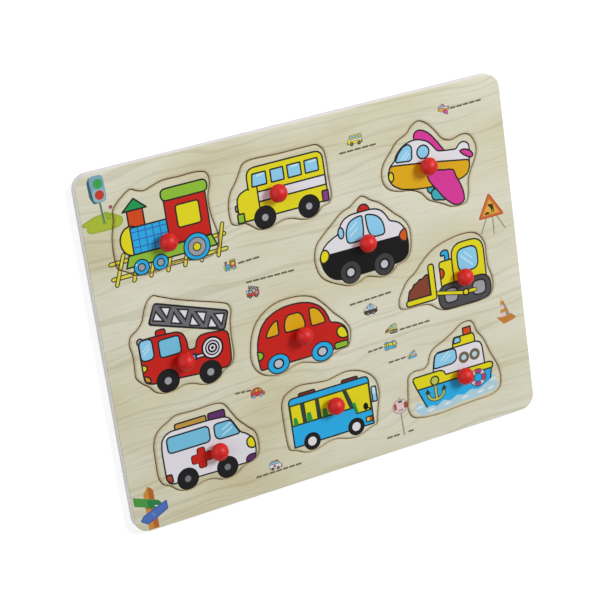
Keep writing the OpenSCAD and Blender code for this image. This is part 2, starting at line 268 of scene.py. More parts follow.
def printed_paper():
    """Satin varnished print: grain where there is no ink, browned towards the cuts."""
    material, tree = new_material("satin varnished print on fibreboard")
    place = add(tree, "ShaderNodeTexCoord").outputs["Object"]
    ink = add(tree, "ShaderNodeAttribute", {"attribute_name": "ink"})
    scorch = add(tree, "ShaderNodeAttribute", {"attribute_name": "scorch"}).outputs["Fac"]
    colour = mix(tree, ink.outputs["Alpha"], grain_colour(tree, place), ink.outputs["Color"])
    mottle = stretched_noise(tree, place, (1.4, 1.4, 1.4), 3.0)
    patchy = maths(tree, "MULTIPLY", scorch, maths(tree, "ADD", mottle, 0.35))
    colour = mix(tree, maths(tree, "MINIMUM", patchy, 0.6), colour, "#D0B992", "MULTIPLY")
    varnish = stretched_noise(tree, place, (0.5, 0.5, 0.5), 2.0)
    show(tree, surface(tree, {
        "Base Color": colour, "Roughness": 0.40, "IOR": 1.46, "Specular IOR Level": 0.35,
        "Normal": relief(tree, varnish, 0.12, 0.02),
    }))
    return material


PRINT = printed_paper()
print(PRINT.name)

# %% [markdown]
# ## Fibreboard, cut and bare
#
# Fibreboard is wood fibre pressed with resin. Its faces are smooth and tan with short
# darker fibres. A laser cut browns its edge, with fine upright streaks from the pulses of
# the beam. The walls of the cut-outs are a paler copy of that browned edge, as painted
# light, so a cut shows dark at a piece's left and faint at its right. The outer edge is
# coloured nearly white, with a hairline where the two sheets meet.
#
# The backing sheet keeps its CAD mesh, so its material tells face from edge by height:
# the millimetres between its two faces are the nearly white edge.

# %% Fibreboard materials
SEAM_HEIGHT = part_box("base_board")[1][2]
LOWER_SKIN, UPPER_SKIN, SEAM_LINE = 0.05 * MM, 0.02 * MM, 0.12 * MM


def laser_cut(name, tones):
    """Browned edge of fibreboard with upright streaks from the beam, in three tones."""
    material, tree = new_material(name)
    place = add(tree, "ShaderNodeTexCoord").outputs["Object"]
    streaks = stretched_noise(tree, place, (0.7, 0.7, 9), 3.0)
    colour = ramp(tree, streaks, tuple(zip((0.30, 0.55, 0.75), tones)))
    show(tree, surface(tree, {
        "Base Color": colour, "Roughness": 0.75, "IOR": 1.45,
        "Normal": relief(tree, streaks, 0.4, 0.05),
    }))
    return material


def fibreboard():
    """Pressed fibreboard: tan faces with short fibres, and a nearly white rim between them."""
    material, tree = new_material("pressed fibreboard with sealed edge")
    place = add(tree, "ShaderNodeTexCoord").outputs["Object"]
    fibres = stretched_noise(tree, place, (2.6, 0.5, 1.2), 4.0, 0.6)
    flecks = stretched_noise(tree, place, (0.7, 1.8, 1.2), 3.0, 0.6)
    face = ramp(tree, fibres, ((0.28, "#8E7048"), (0.50, "#B08F62"), (0.72, "#C3A67A")))
    specks = ramp(tree, flecks, ((0.34, "#9A7C58"), (0.52, "#FFFFFF")))
    face = mix(tree, 0.5, face, specks, "MULTIPLY")
    whitish = ramp(tree, flecks, ((0.30, "#DFDCDA"), (0.60, "#EAE8E8")))
    height = add(tree, "ShaderNodeSeparateXYZ", sockets={0: place}).outputs["Z"]
    above = maths(tree, "GREATER_THAN", height, LOWER_SKIN)
    below = maths(tree, "LESS_THAN", height, SEAM_HEIGHT - UPPER_SKIN)
    colour = mix(tree, maths(tree, "MULTIPLY", above, below), face, whitish)
    show(tree, surface(tree, {
        "Base Color": colour, "Roughness": 0.70, "IOR": 1.45,
        "Normal": relief(tree, fibres, 0.25, 0.04),
    }))
    return material


def whitish_edge():
    """Fibreboard edge coloured nearly white, with a hairline at the joint of the sheets."""
    material, tree = new_material("sanded and sealed fibreboard edge")
    place = add(tree, "ShaderNodeTexCoord").outputs["Object"]
    flecks = stretched_noise(tree, place, (0.9, 0.9, 0.35), 3.0, 0.6)
    colour = ramp(tree, flecks, ((0.30, "#DFDCDA"), (0.60, "#EAE8E8")))
    height = add(tree, "ShaderNodeSeparateXYZ", sockets={0: place}).outputs["Z"]
    joint = maths(tree, "LESS_THAN", height, SEAM_HEIGHT + SEAM_LINE)
    colour = mix(tree, maths(tree, "MULTIPLY", joint, 0.55), colour, "#8F7F6C", "MULTIPLY")
    show(tree, surface(tree, {"Base Color": colour, "Roughness": 0.55, "IOR": 1.45}))
    return material


CUT_EDGE = laser_cut("browned edge of a laser-cut piece", ("#755F40", "#9A8259", "#B7A277"))
# The cut-outs' walls take paler tones of the same browned edge: painted light that makes a cut
# faint at its right
CUT_OUT_PAINTED_LIGHTER = laser_cut("laser-cut cut-out wall with painted light", ("#D2C5A0", "#E2D8B8", "#ECE5CC"))
BOARD, RIM = fibreboard(), whitish_edge()
frame["nodes"]["base_board"].data.materials[0] = BOARD
print(" | ".join(material.name for material in (CUT_EDGE, CUT_OUT_PAINTED_LIGHTER, BOARD, RIM)))

# %% [markdown]
# ## Red knobs, moulded polystyrene
#
# The knobs are injection moulded from tinted, slightly see-through plastic. Light enters
# the rim and comes out lower down, and their shadows on the board are reddish. Subsurface
# light gives the glow. Real coloured shadows would need caustics, which are slow, so
# shadow rays find the plastic partly a red filter instead.

# %% Knob material
RED_SHADOW = 0.55


def moulded_plastic():
    """Glossy red polystyrene that glows inside and casts a reddish shadow."""
    material, tree = new_material("injection-moulded red polystyrene")
    place = add(tree, "ShaderNodeTexCoord").outputs["Object"]
    cloud = stretched_noise(tree, place, (4, 4, 4), 2.0)
    colour = ramp(tree, cloud, ((0.35, "#CB0F0D"), (0.65, "#D61A17")))
    plastic = surface(tree, {
        "Base Color": colour, "Roughness": 0.46, "IOR": 1.55, "Specular IOR Level": 0.35,
        "Subsurface Weight": 0.8, "Subsurface Radius": (1.0, 0.10, 0.06),
        "Subsurface Scale": 4 * MM,
    })
    tint = add(tree, "ShaderNodeBsdfTransparent", sockets={"Color": linear("#E02A20")})
    shadow = add(tree, "ShaderNodeLightPath").outputs["Is Shadow Ray"]
    share = maths(tree, "MULTIPLY", shadow, RED_SHADOW)
    show(tree, mix_shaders(tree, share, plastic, tint.outputs[0]))
    return material


PLASTIC = moulded_plastic()
VEHICLES = [name for name in frame["bodies"] if name != "board"]
for name in VEHICLES:
    frame["nodes"][name + "_peg"].data.materials[0] = PLASTIC
print(len(VEHICLES), "knobs in", PLASTIC.name)

# %% [markdown]
# ## Flat outlines
#
# Everything printed is a closed outline in the plane, in millimetres: rounded polygons,
# soft loops, discs and strokes. Each function below works out all its points at once, as
# arrays. Growing an outline by half a line's width gives the dark contour that the
# drawings have, and the same function gives the rings of a rolled edge. The two limits
# stop a sharp corner from running off and two roundings on one side from crossing.

# %% Outline functions
SHARPEST, HALF_A_SIDE = 0.5, 0.49


def area(loop):
    """Signed area of a closed loop: half the sum of the cross products of its neighbours."""
    after = np.roll(loop, -1, axis=0)
    return 0.5 * np.sum(loop[:, 0] * after[:, 1] - after[:, 0] * loop[:, 1])


def ccw(loop):
    """The loop, turned round if it runs clockwise."""
    return loop if area(loop) > 0 else loop[::-1]


def grow(loop, amount):
    """Moves a counter-clockwise loop outwards, each corner along the sum of its sides' normals."""
    edge = np.roll(loop, -1, axis=0) - loop
    normal = np.stack([edge[:, 1], -edge[:, 0]], 1) / np.linalg.norm(edge, axis=1, keepdims=True)
    before = np.roll(normal, 1, axis=0)
    open_angle = np.maximum(1 + np.sum(normal * before, 1, keepdims=True), SHARPEST)
    return loop + amount * (normal + before) / open_angle


def rounded(points, radius, steps):
    """Polygon whose corners are parabolas that start and end a radius away from the corner."""
    corner = ccw(np.array(points, float))
    back, on = np.roll(corner, 1, axis=0) - corner, np.roll(corner, -1, axis=0) - corner
    reach = np.minimum(np.linalg.norm(back, axis=1), np.linalg.norm(on, axis=1)) * HALF_A_SIDE
    cut = np.clip(radius, 0.1, reach)[:, None]
    start = corner + back / np.linalg.norm(back, axis=1, keepdims=True) * cut
    end = corner + on / np.linalg.norm(on, axis=1, keepdims=True) * cut
    start, corner, end = (spots[:, None] for spots in (start, corner, end))
    t = np.linspace(0, 1, steps)[None, :, None]
    return ((1 - t) ** 2 * start + 2 * t * (1 - t) * corner + t ** 2 * end).reshape(-1, 2)


def smooth(points, steps):
    """Soft closed loop through points: on each span a cubic whose slopes follow its neighbours."""
    q = ccw(np.array(points, float))
    p, r, s = np.roll(q, 1, axis=0), np.roll(q, -1, axis=0), np.roll(q, -2, axis=0)
    a, b, c = (np.sqrt(np.linalg.norm(v, axis=1, keepdims=True)) for v in (q - p, r - q, s - r))
    m = ((q - p) / a - (r - p) / (a + b) + (r - q) / b) * b
    n = ((r - q) / b - (s - q) / (b + c) + (s - r) / c) * b
    t = np.arange(steps)[None, :, None] / steps
    q, r, m, n = (v[:, None] for v in (q, r, m, n))
    loop = (2 * t - 3) * t * t * (q - r) + q + t * (t - 1) ** 2 * m + t * t * (t - 1) * n
    return loop.reshape(-1, 2)


def ellipse(centre, radii, steps, start=0.0, end=360.0):
    """Points on an ellipse from one angle to another; a part of one is closed by its chord."""
    full = end - start >= 360.0
    angle = np.radians(np.linspace(start, end, steps, endpoint=not full))
    return ccw(np.stack([np.cos(angle), np.sin(angle)], 1) * radii + centre)


def stroke(points, width, steps):
    """Outline of a wide line: out along its left side, back along its right, with round ends."""
    line = np.array(points, float)
    ahead = np.gradient(line, axis=0)
    ahead /= np.linalg.norm(ahead, axis=1, keepdims=True)
    side = np.stack([-ahead[:, 1], ahead[:, 0]], 1) * width / 2
    cap = np.radians(np.linspace(90, -90, steps))[1:-1, None]
    tip = line[-1] + np.cos(cap) * ahead[-1] * width / 2 + np.sin(cap) * side[-1]
    tail = line[0] - np.cos(cap) * ahead[0] * width / 2 - np.sin(cap) * side[0]
    return ccw(np.concatenate([line + side, tip, (line - side)[::-1], tail]))


print("a disc of radius 1 has area", round(area(ellipse((0, 0), (1, 1), 42)), 3))

# %% [markdown]
# A pen puts these outlines on a sheet. It draws in shares of a picture's width and
# height, measured from the picture's middle, so the same drawing serves a large piece and
# the small picture of it on the board. Later shapes cover earlier ones.

# %% Pen
class Pen:
    """Draws in shares of a picture's width and height, and keeps the shapes in millimetres."""

    def __init__(self, centre, size, line=1.0, steps=6):
        self.centre, self.size = np.array(centre), np.array(size)
        self.line, self.steps, self.shapes = line, steps, []

    def mm(self, points):
        """Points in millimetres: shares times the picture's size, plus its centre."""
        return np.array(points, float) * self.size + self.centre

    def shape(self, ink, loop, edge="contour"):
        """An inked outline, with a dark contour that straddles it unless edge is None."""
        if edge is None:
            self.shapes.append((ink, loop))
            return
        self.shapes.append((edge, grow(loop, self.line / 2)))
        self.shapes.append((ink, grow(loop, -self.line / 2)))

    def poly(self, ink, points, r=0.0, edge="contour"):
        """A polygon whose corners are rounded by r, a share of the width."""
        radius = np.array(r) * self.size[0]
        self.shape(ink, rounded(self.mm(points), radius, self.steps), edge)

    def blob(self, ink, points, edge="contour"):
        """A soft loop through the points."""
        self.shape(ink, smooth(self.mm(points), self.steps), edge)

    def block(self, ink, left, low, right, high, r=0.0, edge="contour"):
        """An upright rectangle with rounded corners."""
        self.poly(ink, [(left, low), (right, low), (right, high), (left, high)], r, edge)

    def disc(self, ink, x, y, r, ry=None, edge="contour", start=0.0, end=360.0):
        """A disc of radius r, or an oval that is ry high, both in shares of the width."""
        radii = np.array([r, ry or r]) * self.size[0]
        self.shape(ink, ellipse(self.mm([x, y]), radii, 7 * self.steps, start, end), edge)

    def rings(self, x, y, *inks_and_radii):
        """Discs on one centre, the largest first."""
        for ink, r in inks_and_radii:
            self.disc(ink, x, y, r, edge=None)

    def lines(self, ink, width, *routes):
        """Strokes with round ends, all of one width."""
        for route in routes:
            self.shapes.append((ink, stroke(self.mm(route), width * self.size[0], self.steps)))


def tell(*drawings):
    """Prints how many shapes each drawing takes."""
    for draw in drawings:
        pen = Pen((0, 0), (60, 50))
        draw(pen)
        print(draw.__name__, "lays down", len(pen.shapes), "shapes")


print("a contour is", Pen((0, 0), (60, 50)).line, "mm wide")

# %% [markdown]
# ## The ten drawings
#
# Each vehicle is drawn in the order that a printer's artist would stack it: what lies
# behind comes first. They are ordinary figures of rounded shapes with a dark contour. The
# numbers are shares of the picture's width and height, read off the photograph.

# %% Train and its rails
def draw_rails(pen):
    """Two long rails and seven slanted sleepers, the nearest ones longest."""
    for low, high in ((-0.281, -0.268), (-0.456, -0.442)):
        for ink, width in (("olive", 0.046), ("rail", 0.025)):
            pen.lines(ink, width, [(-0.545, low), (0.555, high)])
    for number in range(7):
        foot = np.array([-0.519 + 0.165 * number, -0.528 + 0.005 * number])
        head = foot + (0.104 - 0.004 * number, 0.32 + 0.004 * number)
        for ink, width in (("olive", 0.044), ("rail", 0.023)):
            pen.lines(ink, width, [foot, head])


def draw_train(pen):
    """Funnel, boiler with its grid, footplate, cab and wheels."""
    pen.block("vermilion", -0.32, 0.04, -0.17, 0.26)
    pen.poly("fir", [(-0.24, 0.385), (-0.36, 0.257), (-0.13, 0.257)])
    pen.disc("yellow", -0.315, -0.078, 0.108, 0.132)
    pen.block("blue", -0.315, -0.24, 0.035, 0.065)
    grid = [[(x, -0.235), (x, 0.055)] for x in (-0.245, -0.175, -0.105, -0.035)]
    grid += [[(-0.31, y), (0.03, y)] for y in (0.01, -0.08, -0.165)]
    pen.lines("royal", 0.009, *grid)
    pen.poly("leaf", [(-0.365, -0.24), (0.435, -0.24), (0.475, -0.372), (-0.405, -0.372)])
    pen.block("red", 0.035, -0.235, 0.435, 0.30)
    pen.block("yellow", 0.135, -0.07, 0.36, 0.19, 0.03)
    pen.block("leaf", 0.015, 0.265, 0.465, 0.402, 0.06)
    for x in (-0.265, -0.082):
        pen.rings(x, -0.40, ("black", 0.078), ("blue", 0.067), ("black", 0.039), ("grey", 0.029))
    pen.lines("glint", 0.012, [(-0.31, -0.365), (-0.31, -0.352)])
    pen.rings(0.28, -0.335, ("black", 0.132), ("blue", 0.121), ("black", 0.09), ("grey", 0.081),
              ("black", 0.042), ("yellow", 0.032))


tell(draw_rails, draw_train)

# %% School bus and plane
def wheels(pen, places, *inks_and_radii):
    """The same wheel at each place."""
    for x, y in places:
        pen.rings(x, y, *inks_and_radii)


def draw_school_bus(pen):
    """Bonnet and body, windows with a glint each, a white band, lamps and wheels."""
    pen.disc("grey", -0.424, -0.105, 0.012, 0.028)
    pen.poly("yellow", [(-0.205, 0.125), (-0.30, 0.125), (-0.375, 0.085), (-0.408, 0.02),
                        (-0.414, -0.12), (-0.40, -0.305), (-0.205, -0.305)], 0.03)
    pen.poly("yellow", [(-0.205, -0.305), (0.462, -0.305), (0.457, 0.393), (-0.29, 0.393),
                        (-0.29, 0.11), (-0.205, 0.11)], [0, 0, 0.08, 0.09, 0, 0])
    pen.block("yellow", -0.281, 0.09, -0.212, 0.14, edge=None)
    pen.poly("sky", [(-0.235, 0.305), (-0.105, 0.305), (-0.105, 0.132), (-0.25, 0.132)], 0.008)
    for left, right in ((-0.06, 0.065), (0.105, 0.235), (0.275, 0.405)):
        pen.block("sky", left, 0.132, right, 0.305, 0.008)
    pen.lines("glint", 0.02, [(-0.19, 0.27), (-0.13, 0.28)], [(0.15, 0.275), (0.205, 0.28)],
              [(0.32, 0.275), (0.38, 0.28)])
    pen.block("white", -0.205, -0.085, 0.458, 0.05)
    pen.block("leaf", -0.425, -0.31, -0.362, -0.185, 0.008)
    pen.block("purple", 0.407, -0.312, 0.468, -0.165, 0.008)
    wheels(pen, ((-0.168, -0.315), (0.265, -0.322)), ("black", 0.108), ("tyre", 0.098),
           ("grey", 0.031))


def draw_plane(pen):
    """Far wing and floats, two-coloured body, windows, near wing and tail."""
    pen.blob("magenta", [(-0.12, 0.30), (-0.132, 0.35), (-0.115, 0.39), (-0.075, 0.405),
                         (-0.02, 0.385), (0.04, 0.33), (0.09, 0.255), (0.125, 0.195), (0.16, 0.12),
                         (0.10, 0.10), (0.02, 0.20)])
    pen.blob("teal", [(-0.05, -0.20), (-0.055, -0.25), (-0.025, -0.285), (0.005, -0.26),
                      (0.0, -0.19)])
    pen.blob("teal", [(-0.01, -0.26), (-0.018, -0.325), (0.0, -0.36), (0.05, -0.375),
                      (0.12, -0.385), (0.08, -0.26)])
    body = [(-0.435, 0.03), (-0.402, 0.11), (-0.355, 0.145), (-0.335, 0.20), (-0.285, 0.26),
            (-0.22, 0.30), (-0.15, 0.318), (-0.08, 0.31), (0.0, 0.27), (0.05, 0.21), (0.09, 0.14),
            (0.17, 0.125), (0.288, 0.11), (0.31, 0.145), (0.345, 0.17), (0.39, 0.165),
            (0.422, 0.13), (0.425, 0.08), (0.411, -0.035)]
    keel = [(0.405, -0.12), (0.375, -0.18), (0.31, -0.212), (0.20, -0.222), (-0.05, -0.215),
            (-0.20, -0.195), (-0.32, -0.16), (-0.40, -0.10), (-0.432, -0.03)]
    pen.poly("white", body + keel, 0.03)
    pen.poly("ochre", [(-0.435, 0.03), (-0.402, 0.108), (0.0, 0.045), (0.411, -0.035)] + keel, 0.03)
    pen.disc("yellow", -0.408, -0.005, 0.026, 0.044)
    pen.poly("sky", [(-0.35, 0.13), (-0.31, 0.215), (-0.25, 0.275), (-0.20, 0.29), (-0.165, 0.255),
                     (-0.175, 0.13), (-0.20, 0.11)], 0.03)
    pen.lines("glint", 0.013, [(-0.283, 0.148), (-0.215, 0.215)], [(-0.255, 0.135), (-0.20, 0.188)])
    pen.disc("sky", -0.055, 0.17, 0.062)
    pen.blob("magenta", [(-0.032, -0.07), (-0.035, -0.12), (-0.01, -0.18), (0.04, -0.26),
                         (0.10, -0.36), (0.16, -0.43), (0.215, -0.473), (0.27, -0.478),
                         (0.305, -0.455), (0.315, -0.40), (0.305, -0.32), (0.28, -0.24),
                         (0.25, -0.16), (0.235, -0.105), (0.20, -0.085), (0.14, -0.075),
                         (0.05, -0.055)])
    pen.blob("magenta", [(0.325, 0.08), (0.36, 0.088), (0.41, 0.07), (0.445, 0.035), (0.452, 0.0),
                         (0.43, -0.015), (0.385, 0.01), (0.345, 0.045)])


tell(draw_school_bus, draw_plane)

# %% Police car and bulldozer
def draw_police_car(pen):
    """Lamp, white upper and black lower body, windows, lamps and wheels."""
    pen.disc("red", 0.047, 0.32, 0.062, 0.07)
    pen.poly("white", [(-0.447, -0.07), (-0.39, 0.04), (-0.34, 0.085), (-0.28, 0.12),
                       (-0.235, 0.14), (-0.21, 0.22), (-0.17, 0.285), (-0.11, 0.32), (-0.04, 0.328),
                       (0.12, 0.328), (0.19, 0.31), (0.24, 0.265), (0.275, 0.20), (0.298, 0.135),
                       (0.35, 0.115), (0.40, 0.08), (0.44, 0.01), (0.457, -0.075)], 0.03)
    pen.poly("black", [(-0.447, -0.065), (0.0, -0.068), (0.457, -0.075), (0.463, -0.19),
                       (0.45, -0.29), (0.42, -0.34), (0.36, -0.372), (0.0, -0.385), (-0.27, -0.385),
                       (-0.34, -0.355), (-0.39, -0.30), (-0.425, -0.22), (-0.444, -0.12)], 0.03,
             "black")
    pen.disc("sky", -0.206, 0.145, 0.029, 0.052)
    pen.poly("sky", [(-0.155, 0.03), (-0.155, 0.14), (-0.125, 0.225), (-0.075, 0.267),
                     (-0.015, 0.283), (0.026, 0.283), (0.026, 0.13), (0.01, 0.0), (-0.13, 0.0)],
             0.03)
    pen.poly("sky", [(0.058, 0.283), (0.12, 0.267), (0.175, 0.235), (0.215, 0.18), (0.235, 0.11),
                     (0.237, 0.02), (0.215, 0.0), (0.125, 0.0), (0.085, 0.035), (0.065, 0.12)],
             0.03)
    pen.lines("glint", 0.014, [(-0.112, 0.148), (-0.035, 0.22)], [(-0.112, 0.08), (-0.035, 0.152)])
    pen.blob("yellow", [(-0.408, 0.0), (-0.37, -0.01), (-0.352, -0.06), (-0.37, -0.118),
                        (-0.415, -0.145), (-0.437, -0.13), (-0.44, -0.06)])
    pen.blob("orange", [(0.445, 0.0), (0.405, -0.02), (0.377, -0.07), (0.393, -0.12),
                        (0.44, -0.147), (0.458, -0.10)])
    wheels(pen, ((-0.16, -0.332), (0.19, -0.347)), ("black", 0.11), ("rubber", 0.101),
           ("tyre", 0.056), ("silver", 0.037))


def draw_bulldozer(pen):
    """Exhaust, bonnet, cab, track, a heap of earth, arm and blade."""
    pen.poly("blue", [(-0.018, 0.275), (-0.018, 0.33), (0.02, 0.358), (0.062, 0.34), (0.066, 0.28),
                      (0.066, 0.17), (0.022, 0.17), (0.022, 0.29)], 0.02)
    pen.block("yellow", -0.045, -0.15, 0.14, 0.205, 0.03)
    pen.disc("vermilion", -0.045, 0.04, 0.044, 0.05, start=-90, end=90)
    pen.block("yellow", 0.092, -0.15, 0.435, 0.402, [0, 0, 0.13, 0.13])
    pen.block("sky", 0.15, -0.02, 0.365, 0.312, 0.08)
    pen.lines("glint", 0.013, [(0.192, 0.208), (0.304, 0.044)], [(0.236, 0.245), (0.304, 0.144)])
    pen.block("iron", -0.09, -0.483, 0.473, -0.125, 0.14)
    for left in (-0.025, 0.275):
        pen.block("grey", left, -0.395, left + 0.14, -0.195, 0.055)
    pen.poly("earth", [(-0.41, -0.21), (-0.395, -0.14), (-0.38, -0.07), (-0.345, -0.05),
                       (-0.33, 0.0), (-0.29, 0.01), (-0.27, 0.045), (-0.23, 0.045), (-0.20, 0.085),
                       (-0.17, 0.085), (-0.165, -0.21)], 0.018)
    for ink, width in (("black", 0.043), ("yellow", 0.027)):
        pen.lines(ink, width, [(-0.12, -0.205), (0.02, -0.255), (0.17, -0.308)],
                  [(0.22, -0.308), (0.30, -0.31)])
    pen.disc("yellow", 0.202, -0.31, 0.029)
    pen.block("yellow", -0.425, -0.29, -0.13, -0.208, 0.03)
    pen.block("yellow", -0.163, -0.285, -0.105, 0.213, 0.029)
    pen.block("yellow", -0.19, -0.277, -0.118, -0.221, edge=None)


tell(draw_police_car, draw_bulldozer)

# %% Fire truck and car
def widen(triangle, border):
    """A triangle blown up about its inner circle's centre: each side moves out by border."""
    opposite = np.linalg.norm(np.roll(triangle, -1, 0) - np.roll(triangle, 1, 0), axis=1)
    middle = opposite @ triangle / opposite.sum()
    radius = 2 * abs(area(triangle)) / opposite.sum()
    return ccw(middle + (triangle - middle) * (1 + border / radius))


def draw_fire_truck(pen):
    """Ladder with its openings, body, windows, hose reel and wheels."""
    pen.poly("black", [(-0.212, 0.428), (0.47, 0.165), (0.408, -0.013), (-0.296, 0.239)], 0.03,
             "contour")
    pen.poly("ladder", [(-0.21, 0.416), (0.457, 0.158), (0.402, 0.0), (-0.28, 0.245)], 0.022, None)
    for points in ([(-0.235, 0.272), (-0.167, 0.25), (-0.208, 0.325)],
                   [(-0.145, 0.36), (-0.081, 0.34), (-0.113, 0.28)],
                   [(-0.07, 0.204), (-0.006, 0.181), (-0.042, 0.265)],
                   [(0.016, 0.295), (0.084, 0.272), (0.055, 0.212)],
                   [(0.098, 0.132), (0.159, 0.113), (0.123, 0.196)],
                   [(0.18, 0.223), (0.248, 0.20), (0.22, 0.132)],
                   [(0.266, 0.064), (0.331, 0.045), (0.296, 0.128)],
                   [(0.349, 0.155), (0.417, 0.14), (0.388, 0.068)]):
        for ink, border in (("contour", 1.1), ("white", 0.1)):
            pen.shapes.append((ink, widen(pen.mm(points), border * pen.line)))
    pen.block("red", -0.245, 0.08, -0.152, 0.165, 0.025)
    pen.poly("red", [(-0.42, -0.25), (-0.42, 0.10), (-0.37, 0.112), (-0.24, 0.112), (-0.05, 0.10),
                     (0.005, 0.07), (0.032, 0.0), (0.036, -0.108), (0.105, -0.11), (0.125, -0.04),
                     (0.16, 0.0), (0.22, 0.005), (0.40, -0.012), (0.437, -0.05), (0.437, -0.20),
                     (0.428, -0.325), (0.39, -0.378), (0.10, -0.365), (-0.09, -0.35),
                     (-0.35, -0.335), (-0.412, -0.305)], 0.025)
    pen.disc("grey", -0.40, 0.098, 0.03)
    pen.block("sky", -0.417, -0.097, -0.29, 0.107, 0.05)
    pen.block("azure", -0.235, -0.11, -0.03, 0.065, 0.035)
    pen.lines("glint", 0.012, [(-0.388, 0.0), (-0.325, 0.05)], [(-0.385, -0.035), (-0.322, 0.015)])
    pen.disc("yellow", -0.42, -0.165, 0.045, 0.034, start=-90, end=90)
    pen.poly("amber", [(-0.418, -0.245), (-0.388, -0.245), (-0.358, -0.28), (-0.362, -0.318),
                       (-0.408, -0.298)], 0.01)
    pen.block("white", 0.10, -0.212, 0.18, -0.178, 0.004)
    pen.block("blue", 0.062, -0.218, 0.098, -0.162, 0.004)
    pen.rings(0.265, -0.15, ("black", 0.108), ("white", 0.090), ("black", 0.072), ("white", 0.058),
              ("black", 0.047), ("white", 0.029), ("black", 0.015))
    wheels(pen, ((-0.20, -0.345), (0.212, -0.38)), ("black", 0.112), ("tyre", 0.10),
           ("grey", 0.034))


def draw_car(pen):
    """Round body, three windows, bumpers, lamp and wheels."""
    pen.poly("red", [(-0.425, -0.36), (-0.432, -0.15), (-0.42, 0.0), (-0.40, 0.10), (-0.36, 0.22),
                     (-0.30, 0.31), (-0.22, 0.37), (-0.13, 0.403), (-0.05, 0.41), (0.05, 0.40),
                     (0.14, 0.365), (0.22, 0.295), (0.27, 0.21), (0.30, 0.10), (0.312, 0.015),
                     (0.37, 0.0), (0.42, -0.045), (0.455, -0.10), (0.47, -0.18), (0.465, -0.28),
                     (0.447, -0.36)], 0.03)
    for points in ([(-0.33, 0.052), (-0.31, 0.13), (-0.27, 0.20), (-0.22, 0.25), (-0.198, 0.25),
                    (-0.20, 0.052)],
                   [(-0.135, 0.052), (-0.14, 0.13), (-0.122, 0.23), (-0.09, 0.282), (0.015, 0.282),
                    (0.048, 0.23), (0.066, 0.13), (0.062, 0.052)],
                   [(0.125, 0.042), (0.12, 0.17), (0.122, 0.287), (0.16, 0.29), (0.205, 0.255),
                    (0.24, 0.18), (0.262, 0.10), (0.263, 0.042)]):
        pen.poly("ochre", points, 0.022)
    pen.block("leaf", 0.323, -0.373, 0.457, -0.285, 0.02)
    pen.blob("yellow", [(0.362, -0.14), (0.38, -0.09), (0.415, -0.077), (0.447, -0.12),
                        (0.462, -0.18), (0.462, -0.235), (0.42, -0.242), (0.38, -0.21)])
    pen.disc("leaf", -0.432, -0.16, 0.056, 0.042, start=-90, end=90)
    for x, y in ((-0.245, -0.335), (0.195, -0.345)):
        for ink, r, ry in (("black", 0.112, 0.096), ("blue", 0.101, 0.085), ("black", 0.055, 0.05),
                           ("silver", 0.039, 0.036)):
            pen.disc(ink, x, y, r, ry, edge=None)


tell(draw_fire_truck, draw_car)

# %% Ambulance, bus and ship
def draw_ambulance(pen):
    """Roof boxes, white body, windows, a rounded red plus, lamps and wheels."""
    pen.block("tan", -0.27, 0.29, 0.035, 0.392, 0.02)
    pen.block("violet", 0.055, 0.28, 0.218, 0.40, 0.02)
    pen.poly("white", [(-0.425, -0.28), (-0.425, 0.10), (-0.412, 0.22), (-0.38, 0.285),
                       (-0.32, 0.322), (0.05, 0.318), (0.20, 0.302), (0.25, 0.275), (0.28, 0.21),
                       (0.34, 0.045), (0.39, 0.012), (0.435, -0.05), (0.462, -0.12), (0.465, -0.22),
                       (0.455, -0.30), (0.43, -0.37), (-0.385, -0.345)], 0.03)
    pen.block("azure", -0.367, 0.045, 0.045, 0.252, 0.045)
    pen.poly("azure", [(0.095, 0.08), (0.095, 0.22), (0.12, 0.242), (0.245, 0.242), (0.275, 0.21),
                       (0.338, 0.035), (0.13, 0.035)], 0.03)
    pen.lines("glint", 0.012, [(0.173, 0.148), (0.261, 0.206)], [(0.167, 0.076), (0.262, 0.14)])
    for inset, ink in ((0, "black"), (0.009, "red")):
        pen.block(ink, -0.105 + inset, -0.262 + inset, -0.02 - inset, 0.012 - inset, 0.03, None)
        pen.block(ink, -0.168 + inset, -0.188 + inset, 0.045 - inset, -0.062 - inset, 0.03, None)
    pen.blob("yellow", [(0.385, -0.12), (0.398, -0.07), (0.435, -0.05), (0.458, -0.10),
                        (0.463, -0.18), (0.44, -0.20), (0.40, -0.175)])
    pen.poly("violet", [(0.352, -0.362), (0.36, -0.305), (0.395, -0.275), (0.458, -0.28),
                        (0.446, -0.33), (0.432, -0.37)], 0.02)
    pen.poly("rust", [(-0.423, -0.215), (-0.37, -0.222), (-0.365, -0.31), (-0.385, -0.337),
                      (-0.423, -0.275)], 0.008)
    wheels(pen, ((-0.225, -0.337), (0.165, -0.347)), ("black", 0.105), ("tyre", 0.095),
           ("lead", 0.03))


